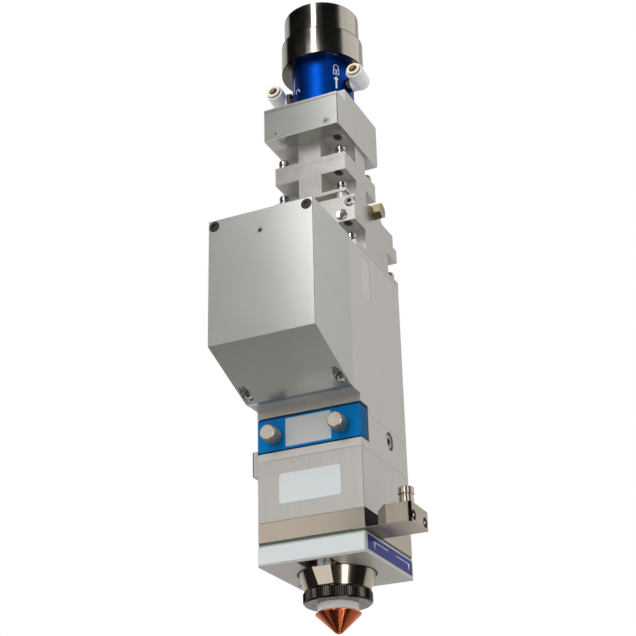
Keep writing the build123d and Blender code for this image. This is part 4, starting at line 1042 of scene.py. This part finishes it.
def softbox(name, place, aim, width, height, level):
    """Rectangular lamp that faces aim and shows in a mirror at the given level, where 1 is white."""
    bpy.ops.object.light_add(type="AREA", location=place)
    lamp = bpy.context.object
    lamp.name = name
    lamp.data.shape = "RECTANGLE"
    lamp.data.size = width
    lamp.data.size_y = height
    lamp.data.energy = pi * width * height * level
    lamp.rotation_euler = (Vector(aim) - Vector(place)).to_track_quat("-Z", "Y").to_euler()


class BuildStage(bpy.types.Operator):
    """Pale floor, soft lamps, white room and the camera at the photograph's place."""
    bl_idname = "cutting_head.build_stage"
    bl_label = "Build the studio"
    bl_options = {"REGISTER", "UNDO"}

    def execute(self, context):
        settings = studio()
        bpy.ops.object.select_all(action="DESELECT")
        bpy.ops.mesh.primitive_circle_add(vertices=96, radius=4.0, fill_type="NGON",
                                          location=(0.0, 0.0, -settings.floor_drop))
        floor = context.object
        floor.name = "studio_floor"
        apply_place()
        floor.data.materials.append(floor_paint())
        for lamp in SOFTBOXES:
            softbox(*lamp)
        world_studio()
        eye = Vector(settings.camera_place)
        bpy.ops.object.camera_add(location=eye)
        camera = context.object
        camera.name = "photo_camera"
        camera.data.sensor_width = 36.0
        camera.data.lens = settings.camera_lens
        camera.data.clip_start = 0.01
        level = (Vector(settings.camera_aim) - eye).to_track_quat("-Z", "Y")
        camera.rotation_euler = (level @ Quaternion((0.0, 0.0, 1.0), settings.camera_roll)).to_euler()
        context.scene.camera = camera
        context.scene.view_settings.view_transform = "Standard"
        return {"FINISHED"}


OPERATORS = (FinishBlocks, FinishSteel, FinishNickel, FinishDyed, FinishNozzle, FinishMoulded, AddFlankMarks,
             AddCollarMarks, OpenSocketRecess, AddArmDetails, AddElbowGapShade, BuildStage)


class HeadPanel(bpy.types.Panel):
    """Lists the operators and settings of the cutting head."""
    bl_idname = "VIEW3D_PT_cutting_head"
    bl_label = "Cutting Head"
    bl_space_type = "VIEW_3D"
    bl_region_type = "UI"
    bl_category = "Cutting Head"

    def draw(self, context):
        for operator in OPERATORS:
            self.layout.operator(operator.bl_idname)
        for group in (colours(), context.scene.head_marks, studio()):
            box = self.layout.box()
            for key in group.__annotations__:
                box.prop(group, key)


CLASSES = (HeadColours, HeadMarks, StudioSettings, *OPERATORS, HeadPanel)


def register():
    for cls in CLASSES:
        bpy.utils.register_class(cls)
    bpy.types.Scene.head_colours = bpy.props.PointerProperty(type=HeadColours)
    bpy.types.Scene.head_marks = bpy.props.PointerProperty(type=HeadMarks)
    bpy.types.Scene.head_studio = bpy.props.PointerProperty(type=StudioSettings)


def unregister():
    del bpy.types.Scene.head_studio
    del bpy.types.Scene.head_marks
    del bpy.types.Scene.head_colours
    for cls in reversed(CLASSES):
        bpy.utils.unregister_class(cls)


def main():
    register()
    bpy.ops.cutting_head.finish_blocks()
    bpy.ops.cutting_head.finish_steel()
    bpy.ops.cutting_head.finish_nickel()
    bpy.ops.cutting_head.finish_dyed()
    bpy.ops.cutting_head.finish_nozzle()
    bpy.ops.cutting_head.finish_moulded()
    bpy.ops.cutting_head.add_flank_marks()
    bpy.ops.cutting_head.add_collar_marks()
    bpy.ops.cutting_head.open_socket_recess()
    bpy.ops.cutting_head.add_arm_details()
    bpy.ops.cutting_head.add_elbow_seals()
    bpy.ops.cutting_head.build_stage()


if __name__ == "__main__":
    main()
